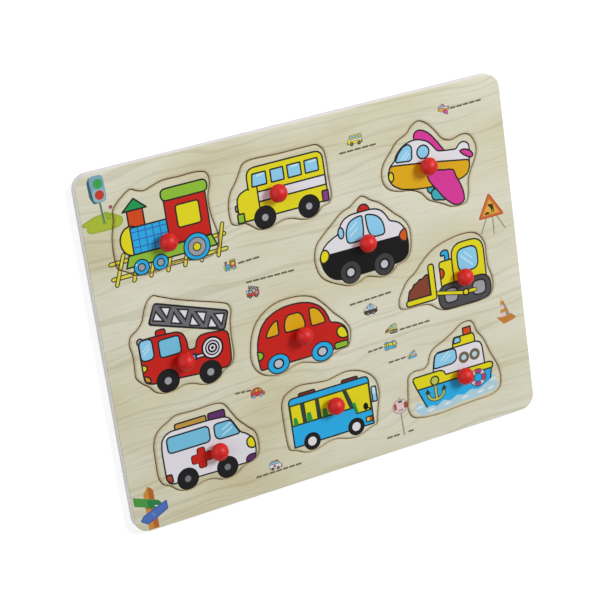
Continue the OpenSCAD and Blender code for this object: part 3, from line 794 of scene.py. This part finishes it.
def draw_bus(pen):
    """Roof hatches, blue body, yellow windows with seat backs, mirror, lamp and wheels."""
    for left in (-0.318, 0.127):
        pen.block("dark red", left, 0.33, left + 0.168, 0.392, 0.02)
    pen.lines("black", 0.014, [(0.39, -0.045), (0.43, -0.04)])
    pen.block("sky", 0.42, -0.052, 0.468, 0.168, 0.012)
    pen.block("glint", 0.425, 0.06, 0.458, 0.158, 0.01, None)
    pen.block("blue", -0.427, -0.367, 0.402, 0.348, [0, 0, 0.05, 0.05])
    pen.block("petrol", -0.427, -0.052, 0.30, 0.247, edge="ink green")
    for points in ([(-0.42, -0.05), (-0.303, -0.05), (-0.31, 0.245), (-0.42, 0.245)],
                   [(-0.275, -0.05), (-0.155, -0.05), (-0.155, 0.245), (-0.278, 0.245)],
                   [(-0.125, -0.05), (0.185, -0.05), (0.128, 0.245), (-0.13, 0.245)],
                   [(0.155, 0.245), (0.397, 0.245), (0.393, -0.152), (0.24, -0.152)]):
        pen.poly("yellow", points, 0.004, "ink green")
    for points in ([(-0.405, -0.045), (-0.352, -0.045), (-0.368, 0.065), (-0.40, 0.065)],
                   [(-0.268, -0.045), (-0.208, -0.045), (-0.222, 0.085), (-0.26, 0.085)],
                   [(-0.105, -0.045), (-0.045, -0.045), (-0.06, 0.072), (-0.098, 0.072)],
                   [(0.203, 0.02), (0.238, 0.02), (0.262, -0.145), (0.238, -0.145)]):
        pen.poly("signal", points, 0.012, None)
    pen.lines("black", 0.012, [(0.34, -0.09), (0.392, -0.145)])
    pen.disc("black", 0.34, -0.085, 0.026, 0.036, edge=None)
    pen.block("orange", 0.33, -0.318, 0.397, -0.25, 0.004)
    pen.block("rail", 0.335, -0.31, 0.36, -0.258, edge=None)
    wheels(pen, ((-0.245, -0.345), (0.217, -0.337)), ("black", 0.086), ("tyre", 0.078),
           ("white", 0.043))


def arc(start, end, count):
    """Points on a circle of radius 1 from one angle to another, in degrees."""
    angle = np.radians(np.linspace(start, end, count))
    return np.stack([np.cos(angle), np.sin(angle)], 1)


def draw_ship(pen):
    """Waves round the hull, cabin with portholes, funnel, anchor and lifebuoy."""
    pen.blob("wave", [(-0.43, -0.36), (-0.40, -0.29), (-0.34, -0.315), (-0.27, -0.285),
                      (-0.10, -0.30), (0.15, -0.28), (0.33, -0.27), (0.40, -0.215), (0.445, -0.24),
                      (0.43, -0.30), (0.462, -0.35), (0.43, -0.405), (0.34, -0.42), (0.20, -0.435),
                      (0.04, -0.43), (-0.10, -0.455), (-0.24, -0.44), (-0.36, -0.45)], None)
    pen.poly("blue", [(-0.385, -0.13), (-0.30, -0.39), (0.37, -0.37), (0.41, -0.13)])
    pen.blob("wave", [(-0.335, -0.395), (-0.26, -0.365), (-0.20, -0.385), (-0.13, -0.345),
                      (-0.06, -0.37), (0.02, -0.335), (0.09, -0.355), (0.17, -0.32), (0.25, -0.34),
                      (0.33, -0.30), (0.405, -0.28), (0.43, -0.39), (0.20, -0.42), (-0.05, -0.43),
                      (-0.30, -0.43)], None)
    for x, y in ((-0.38, -0.34), (-0.27, -0.41), (-0.09, -0.395), (0.10, -0.385), (0.27, -0.375),
                 (0.41, -0.27), (0.38, -0.37)):
        pen.blob("foam", [(x - 0.04, y - 0.012), (x, y + 0.014), (x + 0.04, y), (x, y - 0.02)],
                 None)
    pen.poly("white", [(-0.20, 0.0), (-0.19, 0.10), (-0.168, 0.20), (-0.135, 0.237), (0.275, 0.237),
                       (0.32, 0.215), (0.338, 0.16), (0.345, -0.06), (-0.08, -0.06)], 0.02)
    pen.poly("yellow", [(-0.42, -0.01), (-0.405, 0.02), (-0.13, 0.02), (-0.09, 0.0),
                        (-0.075, -0.05), (0.40, -0.055), (0.43, -0.08), (0.42, -0.135),
                        (-0.385, -0.135)], 0.015)
    pen.poly("sky", [(-0.192, 0.055), (-0.168, 0.19), (-0.145, 0.228), (0.035, 0.228),
                     (0.058, 0.20), (0.058, 0.09), (0.01, 0.055)], 0.03)
    pen.lines("glint", 0.013, [(-0.105, 0.135), (-0.015, 0.212)], [(-0.07, 0.115), (-0.005, 0.172)])
    for x in (0.135, 0.25):
        pen.rings(x, 0.087, ("umber", 0.056), ("bark", 0.050), ("umber", 0.035), ("haze", 0.027))
    pen.block("vermilion", 0.155, 0.33, 0.238, 0.435)
    pen.poly("yellow", [(0.03, 0.237), (0.038, 0.30), (0.055, 0.352), (0.252, 0.347), (0.268, 0.31),
                        (0.268, 0.237)], 0.01)
    pen.poly("sky", [(0.042, 0.28), (0.06, 0.345), (0.118, 0.345), (0.118, 0.28)], 0.012)
    for ink, width in (("ink green", 0.036), ("khaki", 0.019)):
        pen.lines(ink, width, [(-0.195, -0.11), (-0.195, -0.20), (-0.195, -0.30)])
        hook = (-0.195, -0.225) + 0.085 * arc(190, 350, 13)
        pen.shapes.append((ink, stroke(pen.mm(hook), width * pen.size[0], 5)))
    pen.disc("khaki", -0.195, -0.083, 0.042, edge="ink green")
    for side in (-1, 1):
        barb = [(-0.195 + side * x, y)
                for x, y in ((0.118, -0.215), (0.088, -0.155), (0.052, -0.222))]
        pen.poly("ink green", barb, 0.004, None)
    lifebuoy = (0.257, -0.205)
    pen.rings(*lifebuoy, ("black", 0.088), ("white", 0.08))
    for start in (60, 150, 240, 330):
        band = pen.mm(lifebuoy) + arc(start, start + 45, 7) * 0.061 * pen.size[0]
        pen.shapes.append(("plum", stroke(band, 0.037 * pen.size[0], 4)))
    pen.rings(*lifebuoy, ("black", 0.046), ("blue", 0.038))


tell(draw_ambulance, draw_bus, draw_ship)
DRAWINGS = {"train": draw_train, "school_bus": draw_school_bus, "plane": draw_plane,
            "police_car": draw_police_car, "bulldozer": draw_bulldozer,
            "fire_truck": draw_fire_truck, "car": draw_car, "ambulance": draw_ambulance,
            "bus": draw_bus, "ship": draw_ship}
print(len(DRAWINGS), "drawings")

# %% [markdown]
# ## Decorations on the board
#
# Between the cut-outs the board has a traffic light on a patch of grass, a road-works
# sign, a cone, a signpost, a round sign and a small picture of each vehicle, with dashed
# road markings beside them. These are ordinary figures. This pen draws in board
# millimetres: its picture is one millimetre wide and high.

# %% Grass, signs and cone
def draw_grass(pen):
    """Lime patch under the traffic light; the train's cut runs across it."""
    pen.blob("lime", [(-139.1, 82.4), (-136.8, 83.6), (-131.0, 85.5), (-127.0, 85.9),
                      (-124.4, 86.8), (-122.0, 85.6), (-118.0, 83.6), (-115.6, 82.0),
                      (-115.1, 80.2), (-116.4, 78.0), (-119.4, 76.9), (-130.0, 76.7),
                      (-135.6, 77.2), (-136.8, 78.8), (-135.8, 80.6), (-138.4, 81.3)], "grass")
    pen.lines("turf", 0.6, [(-124.0, 82.8), (-124.6, 86.4)], [(-123.0, 82.4), (-123.1, 86.4)],
              [(-122.2, 82.2), (-121.9, 85.0)])


def draw_traffic_light(pen):
    """Post, a box shaded at its left, two lamps and a small flower."""
    pen.lines("slate", 1.2, [(-126.6, 94.0), (-126.4, 87.0), (-126.0, 81.2)])
    pen.disc("turf", -125.9, 80.8, 1.5, 0.5, None)
    pen.poly("teal dark", [(-131.0, 108.8), (-132.6, 106.0), (-132.3, 97.0), (-130.4, 93.0),
                           (-126.8, 93.0), (-127.6, 107.6)], 0.8, None)
    pen.poly("enamel", [(-131.3, 109.2), (-122.4, 109.2), (-122.1, 93.2), (-130.0, 93.2)], 3.2,
             None)
    pen.block("mist", -130.2, 93.8, -122.7, 101.2, 2.6, None)
    pen.disc("lamp green", -126.1, 104.2, 2.9, edge=None)
    pen.disc("lamp red", -126.1, 97.6, 2.8, edge=None)
    pen.block("clover", -122.0, 88.2, -119.8, 90.3, 0.7, None)


def draw_road_works(pen):
    """Triangular sign on three legs, with a heap and a digging figure as on any such sign."""
    pen.lines("shade", 0.9, [(120.6, 21.8), (115.7, 12.4)], [(124.9, 21.8), (124.7, 10.4)],
              [(127.6, 21.8), (132.8, 12.4)])
    pen.poly("works", [(123.7, 36.6), (115.2, 21.7), (132.7, 21.7)], 1.1, "ember")
    pen.poly("maize", [(123.8, 33.0), (118.0, 23.3), (130.0, 23.3)], 0.5, None)
    pen.disc("olive", 121.3, 23.6, 1.9, 1.6, None, 0, 180)
    pen.poly("olive", [(122.0, 29.1), (122.8, 30.0), (125.8, 29.7), (126.5, 26.6), (124.5, 25.9),
                       (123.4, 28.2)], 0.3, None)
    pen.lines("olive", 0.8, [(125.1, 26.8), (124.8, 24.3)], [(125.9, 27.0), (126.4, 24.5)])


CONE_BANDS = (
    ("straw", "straw", 0.0), ("tan", "clay", 0.22), ("blush", "shade", 0.42), ("tan", "clay", 0.62),
    ("blush", "shade", 0.80),
)


def draw_cone(pen):
    """A base and five bands, each from one side of the cone to the other, shaded on the right."""
    pen.poly("clay", [(119.2, -44.2), (123.0, -45.0), (130.2, -44.2), (133.5, -47.2),
                      (132.8, -48.4), (124.2, -50.1)], 0.8, None)
    tip = np.array([[123.6, -31.8], [124.6, -31.8]])
    foot = np.array([[122.2, -45.2], [129.6, -44.9]])
    ends = [start for _, _, start in CONE_BANDS[1:]] + [1.0]
    for (sunny, shaded, upper), lower in zip(CONE_BANDS, ends):
        for ink, left, right in ((sunny, 0.0, 0.62), (shaded, 0.6, 1.0)):
            sides = [end[0] + (end[1] - end[0]) * across
                     for across in (left, right) for end in (tip, foot)]
            corners = [sides[side] + (sides[side + 1] - sides[side]) * down
                       for side, down in ((0, upper), (0, lower), (2, lower), (2, upper))]
            pen.poly(ink, corners, 0.2, None)


def draw_signpost(pen):
    """Post with a green and a blue arrow, both bare."""
    pen.poly("post", [(-131.9, -110.2), (-131.9, -87.2), (-130.2, -85.2), (-128.5, -83.0),
                      (-128.5, -110.2)], 0.3, None)
    pen.poly("dark post", [(-128.6, -110.2), (-128.6, -82.8), (-126.4, -84.4), (-125.2, -86.4),
                           (-125.2, -110.2)], 0.3, None)
    pen.lines("bark", 0.6, [(-131.8, -95.8), (-127.4, -98.0)])
    pen.poly("sign green", [(-138.6, -87.1), (-122.8, -93.2), (-120.4, -96.9), (-124.4, -98.7),
                            (-131.4, -95.6), (-138.6, -92.9)], 0.5, None)
    pen.poly("dark green", [(-130.0, -91.0), (-122.9, -93.6), (-120.8, -96.8), (-124.4, -98.4),
                            (-130.0, -95.9)], 0.5, None)
    pen.lines("lamp green", 0.5, [(-131.0, -91.4), (-130.4, -94.6)])
    pen.lines("foam", 0.7, [(-125.7, -96.1), (-123.8, -96.8)])
    pen.poly("sign blue", [(-118.3, -95.0), (-118.2, -100.1), (-124.8, -103.2), (-131.8, -106.1),
                           (-135.8, -103.4), (-133.6, -100.7), (-126.8, -98.3)], 0.5, "navy")
    pen.lines("enamel", 0.4, [(-128.4, -99.9), (-127.2, -101.2), (-126.6, -102.6)])


def draw_round_sign(pen):
    """Pale round sign on a thin post, with brick-red marks at its sides."""
    pen.lines("shade", 1.0, [(43.9, -87.0), (44.0, -95.0), (44.3, -102.0)])
    pen.lines("mauve", 0.7, [(43.7, -76.5), (43.9, -78.4)])
    pen.disc("mauve", 43.9, -82.8, 5.6, 5.0, None)
    pen.disc("blush", 43.9, -82.8, 4.8, 4.2, None)
    pen.block("mauve", 42.2, -86.1, 45.9, -84.7, 0.5, None)
    pen.block("brick", 39.5, -84.5, 41.4, -80.4, 0.7, None)
    pen.block("brick", 46.6, -84.8, 49.2, -80.8, 0.7, None)
    pen.block("umber", 42.9, -80.5, 45.7, -79.0, 0.4, None)


tell(draw_grass, draw_traffic_light, draw_road_works, draw_cone, draw_signpost, draw_round_sign)

# %% [markdown]
# A small picture needs only its middle and its width, because its height follows from the
# large one. A road marking is a line between two points, cut into equal dashes.

# %% Small vehicle pictures and road markings
# Middle and width in mm of each small picture, and ends in mm of each row of dashes
SMALL_PICTURES = {
    "school_bus": (37.0, 91.8, 11.5), "plane": (99.4, 96.6, 9.0), "train": (-54.6, 36.8, 9.0),
    "fire_truck": (-42.7, 17.2, 9.5), "police_car": (32.4, -14.6, 10.5),
    "bulldozer": (44.5, -31.1, 9.9), "bus": (42.8, -41.5, 9.8), "ship": (56.8, -51.8, 8.0),
    "car": (-49.6, -45.5, 10.5), "ambulance": (-45.2, -94.6, 9.5),
}
ROAD_MARKINGS = (
    (26.5, 85.6, 50.5, 85.9), (104.5, 96.0, 125.5, 96.4), (-48.5, 36.4, -35.5, 36.8),
    (-45.5, 23.4, -14.5, 23.0), (19.5, -8.6, 47.5, -7.8), (51.0, -33.4, 71.5, -33.2),
    (27.5, -41.6, 37.0, -41.2), (40.5, -52.4, 51.8, -52.0), (-63.4, -42.5, -54.0, -43.2),
    (-58.5, -99.0, -28.5, -99.0), (32.5, -100.9, 40.6, -100.9), (47.8, -100.9, 50.6, -100.9),
)
LONGEST_DASH, DASH_GAP, DASH_WIDTH = 3.6, 1.6, 1.2


def draw_road_markings(pen):
    """Equal dashes along each line, as few as the longest dash allows, with one gap everywhere."""
    for x0, y0, x1, y1 in ROAD_MARKINGS:
        start, along = np.array([x0, y0]), np.array([x1 - x0, y1 - y0])
        length = np.linalg.norm(along)
        along = along / length
        count = math.ceil((length + DASH_GAP) / (LONGEST_DASH + DASH_GAP))
        step = (length + DASH_GAP) / count
        for number in range(count):
            begin = start + along * step * number
            pen.lines("dashes", DASH_WIDTH, [begin, begin + along * (step - DASH_GAP)])


print(len(SMALL_PICTURES), "small pictures and", len(ROAD_MARKINGS), "road markings")

# %% [markdown]
# ## Printed sheets
#
# One function makes the board's upper sheet and every piece. It starts from the outlines
# of the CAD node itself: the edges of its level underside.

# %% Outlines of a CAD node
# How near in mm to a height counts as level, and to an outline as on it
LEVEL, ON_OUTLINE = 0.001, 0.02


def border(triangles):
    """The directed edges that only one triangle uses: those whose reverse is in no triangle."""
    edges = triangles[:, [0, 1, 1, 2, 2, 0]].reshape(-1, 2)
    count = int(edges.max()) + 1
    return edges[~np.isin(edges @ [count, 1], edges @ [1, count])]


def walk(edges):
    """Joins directed edges head to tail into closed lists of point numbers."""
    after, loops = dict(edges.tolist()), []
    while after:
        start, spot = after.popitem()
        loop = [start]
        while spot != start:
            loop.append(spot)
            spot = after.pop(spot)
        loops.append(loop)
    return loops


def level_loops(node, height):
    """Outlines in mm of a node's level faces at a height, counter-clockwise, the largest first."""
    mesh = frame["nodes"][node].data
    mesh.calc_loop_triangles()
    places = np.empty(len(mesh.vertices) * 3)
    mesh.vertices.foreach_get("co", places)
    corners = np.empty(len(mesh.loop_triangles) * 3, int)
    mesh.loop_triangles.foreach_get("vertices", corners)
    places, corners = places.reshape(-1, 3) / MM, corners.reshape(-1, 3)
    level = corners[np.all(np.abs(places[corners][:, :, 2] - height) < LEVEL, axis=1)]
    spots, number = np.unique(np.round(places[:, :2], 3), axis=0, return_inverse=True)
    loops = [ccw(spots[loop]) for loop in walk(border(number.reshape(-1)[level]))]
    return sorted(loops, key=lambda loop: -area(loop))


SHEET_LOW, SHEET_HIGH = (corner[2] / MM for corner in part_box("top_board"))
board_loops = level_loops("top_board", SHEET_LOW)
print("sheet from", round(SHEET_LOW, 2), "to", round(SHEET_HIGH, 2), "mm with",
      len(board_loops) - 1, "cut-outs")

# %% [markdown]
# The outlines, the rings of the rolled edge and all inked shapes are piled up, and a
# constrained Delaunay triangulation splits the pile into triangles that overlap nowhere.
# Each triangle takes the ink of the topmost shape that its middle lies in.

# %% Triangles from a pile of outlines
# Points closer than this, in mm, are one point
SAME_POINT = 1e-4


def arrange(loops):
    """Splits overlapping outlines into triangles, out to their hull. Gives points and triangles."""
    sides, first = [], 0
    for loop in loops:
        numbers = np.arange(len(loop)) + first
        sides.append(np.stack([numbers, np.roll(numbers, -1)], 1))
        first += len(loop)
    spots = [Vector(spot) for spot in np.concatenate(loops).tolist()]
    points, _, triangles, *_ = delaunay_2d_cdt(
        spots, np.concatenate(sides).tolist(), [], 0, SAME_POINT, False)
    return np.array([tuple(point) for point in points]), np.array(triangles)


def covered(spots, loop):
    """Which spots a loop winds round.

    The sides that pass a spot on its right are counted, + upwards and - downwards, and the
    loop winds round the spot where the sum is above 0.
    """
    result = np.zeros(len(spots), bool)
    near = np.flatnonzero(np.all((spots > loop.min(0)) & (spots < loop.max(0)), axis=1))
    x, y = spots[near, 0, None], spots[near, 1, None]
    (ax, ay), (bx, by) = loop.T, np.roll(loop, -1, axis=0).T
    left = (bx - ax) * (y - ay) - (x - ax) * (by - ay)
    upwards, downwards = (ay <= y) & (by > y) & (left > 0), (ay > y) & (by <= y) & (left < 0)
    result[near] = upwards.sum(1) > downwards.sum(1)
    return result


def between(spots, outer, holes):
    """Which spots lie inside the outer loop and in no hole."""
    return covered(spots, outer) & ~np.any([covered(spots, hole) for hole in holes], axis=0)


def edge_distance(points, loop):
    """Distance in mm from each point to the nearest side of a closed loop."""
    side = np.roll(loop, -1, axis=0) - loop
    away = points[:, None] - loop
    share = np.clip(np.sum(away * side, 2) / np.sum(side * side, 1), 0, 1)
    return np.linalg.norm(away - share[:, :, None] * side, axis=2).min(1)


print("the bare board splits into", len(arrange(board_loops)[1]), "triangles")

# %% [markdown]
# Near a cut the face sinks along a quarter of an ellipse, which is the soft shoulder that
# catches the light. The scorch fades with the square of what is left of its band.

# %% Rolled edges
# Width and depth in mm of the rolled edge of a piece, of a cut-out and of the board's rim,
# and how strongly it is scorched
# The cut-outs' scorch is real laser browning, kept at half a piece's: painted light that keeps a
# cut faint at its right
PIECE_EDGE, CUT_OUT_EDGE, RIM_EDGE = (2.1, 0.62, 1.0), (1.9, 0.45, 0.5), (0.6, 0.5, 0.0)
SCORCH = 1.9
ROLL_ANGLES = np.radians([0, 15, 30, 45, 60, 75])
INWARDS, OUTWARDS = -1, 1


def sink(distance, roll, depth):
    """How far a face lies below its level at a distance from its edge: a quarter of an ellipse."""
    along = np.clip(1 - distance / roll, 0, 1)
    return depth * (1 - np.sqrt(1 - along ** 2))


def edge_rings(loop, edge, way):
    """Outlines beside a cut, where the rolled edge and the scorched band need points."""
    roll, _, burnt = edge
    steps = roll * (1 - np.sin(ROLL_ANGLES))
    if burnt:
        steps = np.concatenate([[SCORCH], steps])
    return [grow(loop, way * step) for step in steps]


def rolled_face(points, rolled):
    """Height in mm and scorch at each point of a face that sinks along its rolled outlines."""
    height, scorch = np.full(len(points), SHEET_HIGH), np.zeros(len(points))
    for loop, (roll, depth, burnt) in rolled:
        near = np.all((points > loop.min(0) - SCORCH) & (points < loop.max(0) + SCORCH), axis=1)
        distance = edge_distance(points[near], loop)
        height[near] -= sink(distance, roll, depth)
        fade = np.clip(1 - distance / SCORCH, 0, 1) ** 2
        scorch[near] = np.maximum(scorch[near], burnt * fade)
    return height, scorch


print("a piece's edge sinks", PIECE_EDGE[1], "mm over", PIECE_EDGE[0], "mm")

# %% [markdown]
# Walls drop from the border of the face, and an underside closes the solid.

# %% Faces of a printed sheet
def inked_face(outer, holes, bores, rings, drawn):
    """Points and triangles of the face, and for each triangle its topmost shape, or -1."""
    loops = [outer] + holes + bores + rings + [loop for _, loop in drawn]
    points, triangles = arrange(loops)
    middles = points[triangles].mean(1)
    inside = between(middles, outer, holes + bores)
    triangles, middles = triangles[inside], middles[inside]
    top_shape = np.full(len(triangles), -1)
    for number, (_, loop) in enumerate(drawn):
        top_shape[covered(middles, loop)] = number
    return points, triangles, top_shape


def walls_and_underside(points, triangles):
    """Border edges, the walls that drop from them and the triangles that close them below.

    Each point has a twin straight below it, numbered after all the points of the face.
    """
    edges, count = border(triangles), len(points)
    walls = np.stack([edges[:, 0], edges[:, 0] + count, edges[:, 1] + count, edges[:, 1]], 1)
    loops = [np.array(loop) for loop in walk(edges)]
    loops.sort(key=lambda loop: -abs(area(points[loop])))
    ring, *ring_holes = [ccw(points[loop]) for loop in loops]
    flat, cap = arrange([ring] + ring_holes)
    cap = cap[between(flat[cap].mean(1), ring, ring_holes)]
    rim = np.concatenate(loops)
    nearest = [np.argmin(np.sum((points[rim] - spot) ** 2, axis=1)) for spot in flat]
    return edges, walls, rim[nearest][cap][:, ::-1] + count


def mesh_of(name, places, *groups):
    """A mesh of groups of triangles or quads, and the numbers of the points that it keeps."""
    corners = np.concatenate([group.ravel() for group in groups])
    kept, numbers = np.unique(corners, return_inverse=True)
    sizes = np.concatenate([np.full(len(group), group.shape[1]) for group in groups])
    faces = [face.tolist() for face in np.split(numbers.reshape(-1), np.cumsum(sizes)[:-1])]
    mesh = bpy.data.meshes.new(name)
    mesh.from_pydata(places[kept], [], faces)
    return mesh, kept


plain = inked_face(board_loops[0], board_loops[1:], [], [], [])
print("without its print the board's face takes", len(plain[1]), "triangles")

# %% [markdown]
# The sheet takes its four materials, its inks and its scorch, rides on its body and
# stands in for its CAD node.

# %% Printed sheet
SHARP_EDGE = math.radians(50)
PRINT_SLOT, CUT_SLOT, BACK_SLOT, RIM_SLOT = range(4)
NO_INK = (0.0, 0.0, 0.0, 0.0)


def printed_sheet(name, body, node, outer, holes, bores, drawn, rim):
    """A printed sheet: outer and holes are rolled, bores are plain, rim means a nearly white edge.
    """
    outer_edge = RIM_EDGE if rim else PIECE_EDGE
    rings = edge_rings(outer, outer_edge, INWARDS)
    for hole in holes:
        rings += edge_rings(hole, CUT_OUT_EDGE, OUTWARDS)
    points, triangles, top_shape = inked_face(outer, holes, bores, rings, drawn)
    rolled = [(outer, outer_edge)] + [(hole, CUT_OUT_EDGE) for hole in holes]
    height, scorch = rolled_face(points, rolled)
    edges, walls, under = walls_and_underside(points, triangles)
    above = np.column_stack([points, height])
    below = np.column_stack([points, np.full(len(points), SHEET_LOW)])
    mesh, kept = mesh_of(name, np.concatenate([above, below]) * MM, triangles, walls, under)

    for material in (PRINT, CUT_OUT_PAINTED_LIGHTER if rim else CUT_EDGE, BOARD, RIM):
        mesh.materials.append(material)
    middles = points[edges].mean(1)
    on_outline = edge_distance(middles, outer) < ON_OUTLINE
    wall_slots = np.where(on_outline & rim, RIM_SLOT, CUT_SLOT)
    slots = np.concatenate([
        np.full(len(triangles), PRINT_SLOT), wall_slots, np.full(len(under), BACK_SLOT)])
    mesh.polygons.foreach_set("material_index", slots)
    inks = np.array([INK_COLOURS[ink] for ink, _ in drawn] + [NO_INK])
    face_inks = np.concatenate([inks[top_shape], np.zeros((len(walls) + len(under), 4))])
    mesh.attributes.new("ink", "FLOAT_COLOR", "FACE").data.foreach_set("color", face_inks.ravel())
    burnt = np.concatenate([scorch, np.ones(len(points))])[kept]
    mesh.attributes.new("scorch", "FLOAT", "POINT").data.foreach_set("value", burnt)
    mesh.shade_smooth()
    mesh.set_sharp_from_angle(angle=SHARP_EDGE)
    piece = bpy.data.objects.new(name, mesh)
    bpy.context.scene.collection.objects.link(piece)
    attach(piece, body)
    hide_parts(node)
    print(name, len(triangles), "triangles on its face,", len(mesh.polygons), "faces in all")
    return piece


# %% [markdown]
# ## The ten pieces
#
# A piece's picture is as wide and high as its cut line, which the cut-out in the board
# and the piece's own outline straddle, so the picture's frame is the mean of the two.

# %% Pieces
def cut_out_of(outline):
    """The board's cut-out whose middle is nearest to a piece's outline."""
    middle = outline.mean(0)
    return min(board_loops[1:], key=lambda loop: np.linalg.norm(loop.mean(0) - middle))


PICTURE_FRAMES = {}
for name in VEHICLES:
    outline, *bores = level_loops(name + "_piece", SHEET_LOW)
    cut_out = cut_out_of(outline)
    lowest = (outline.min(0) + cut_out.min(0)) / 2
    highest = (outline.max(0) + cut_out.max(0)) / 2
    PICTURE_FRAMES[name] = ((lowest + highest) / 2, highest - lowest)
    pen = Pen(*PICTURE_FRAMES[name])
    if name == "train":
        ground = Pen((0, 0), (1, 1))
        draw_grass(ground)
        draw_rails(pen)
        pen.shapes = ground.shapes + pen.shapes
    DRAWINGS[name](pen)
    printed_sheet(name + "_print", name, name + "_piece", outline, [], bores,
                  pen.shapes, False)

# %% [markdown]
# ## The board
#
# The board's face holds the same rails and grass as the train's piece, its decorations,
# and a small copy of every drawing with finer lines, fewer points and a thinner film of
# ink, which lets some of the ground show through.

# %% Board
SMALL_LINE, SMALL_STEPS = 0.26, 3

board_pen = Pen((0, 0), (1, 1))
draw_grass(board_pen)
rails = Pen(*PICTURE_FRAMES["train"])
draw_rails(rails)
board_pen.shapes += rails.shapes
for draw in (draw_traffic_light, draw_road_works, draw_cone, draw_signpost, draw_round_sign,
             draw_road_markings):
    draw(board_pen)
for name, (x, y, width) in SMALL_PICTURES.items():
    size = PICTURE_FRAMES[name][1]
    small = Pen((x, y), size * width / size[0], SMALL_LINE, SMALL_STEPS)
    DRAWINGS[name](small)
    board_pen.shapes += [("thin " + ink, loop) for ink, loop in small.shapes]
printed_sheet("board_print", "board", "top_board", board_loops[0], board_loops[1:],
              [], board_pen.shapes, True)

# %% [markdown]
# ## Floor and light
#
# The photograph has one broad soft light at the upper right and a bright room around it,
# with something pale at the left that fills the board's left side and the knobs' shade.
# The knobs' shadows fall to the lower left at about 50 degrees, which gives the lamp's
# direction. The floor is pale and shows white to the camera and in reflections, part of it
# as its own glow, so that the board's soft shadow still darkens it.

# %% Floor
FLOOR_REACH = 4
# The floor lies a hair below the board, so that the two don't share a level
FLOOR_DROP = 0.2 * MM


def floor_material():
    """Pale floor: plain to diffuse light, and lifted to white where it is seen out of shadow."""
    material, tree = new_material("pale studio floor")
    plain = add(tree, "ShaderNodeBsdfDiffuse", sockets={"Color": (0.8, 0.8, 0.8, 1.0)})
    shaded = add(tree, "ShaderNodeBsdfDiffuse", sockets={"Color": (0.45, 0.45, 0.45, 1.0)})
    white = {"Color": (1.0, 1.0, 1.0, 1.0), "Strength": 0.72}
    glow = add(tree, "ShaderNodeEmission", sockets=white)
    seen = add(tree, "ShaderNodeAddShader", sockets={0: shaded.outputs[0], 1: glow.outputs[0]})
    ray = add(tree, "ShaderNodeLightPath").outputs
    sight = maths(tree, "MAXIMUM", ray["Is Camera Ray"], ray["Is Glossy Ray"])
    sight = maths(tree, "MAXIMUM", sight, ray["Is Transmission Ray"])
    show(tree, mix_shaders(tree, sight, plain.outputs[0], seen.outputs[0]))
    return material


corners = np.array([(-1, -1), (1, -1), (1, 1), (-1, 1)]) * FLOOR_REACH
floor_mesh = bpy.data.meshes.new("floor")
floor_mesh.from_pydata(np.column_stack([corners, np.full(4, -FLOOR_DROP)]), [], [(0, 1, 2, 3)])
floor_mesh.materials.append(floor_material())
floor = bpy.data.objects.new("floor", floor_mesh)
bpy.context.scene.collection.objects.link(floor)
print("floor", 2 * FLOOR_REACH, "m across")

# %% Lamps and world
# Direction towards each lamp, its width in metres and its power in watts
LAMPS = {
    "softbox": ((0.50, 0.40, 0.77), 0.85, 36.6),
    "white card": ((-0.82, 0.28, 0.40), 1.8, 12.6),
}
LAMP_DISTANCE = 2.24
ROOM_LIGHT = 0.33

for name, (direction, size, power) in LAMPS.items():
    direction = Vector(direction).normalized()
    light = bpy.data.lights.new(name, "AREA")
    light.shape, light.size, light.energy = "DISK", size, power
    lamp = bpy.data.objects.new(name, light)
    lamp.location = direction * LAMP_DISTANCE
    lamp.rotation_euler = direction.to_track_quat("Z", "Y").to_euler()
    bpy.context.scene.collection.objects.link(lamp)
    print(name, "at", [round(value, 2) for value in lamp.location], "m")

world = bpy.data.worlds.new("bright room")
bpy.context.scene.world = world
world.use_nodes = True
background = world.node_tree.nodes["Background"]
background.inputs["Color"].default_value = (1.0, 1.0, 1.0, 1.0)
background.inputs["Strength"].default_value = ROOM_LIGHT
bpy.context.scene.view_settings.view_transform = "Standard"
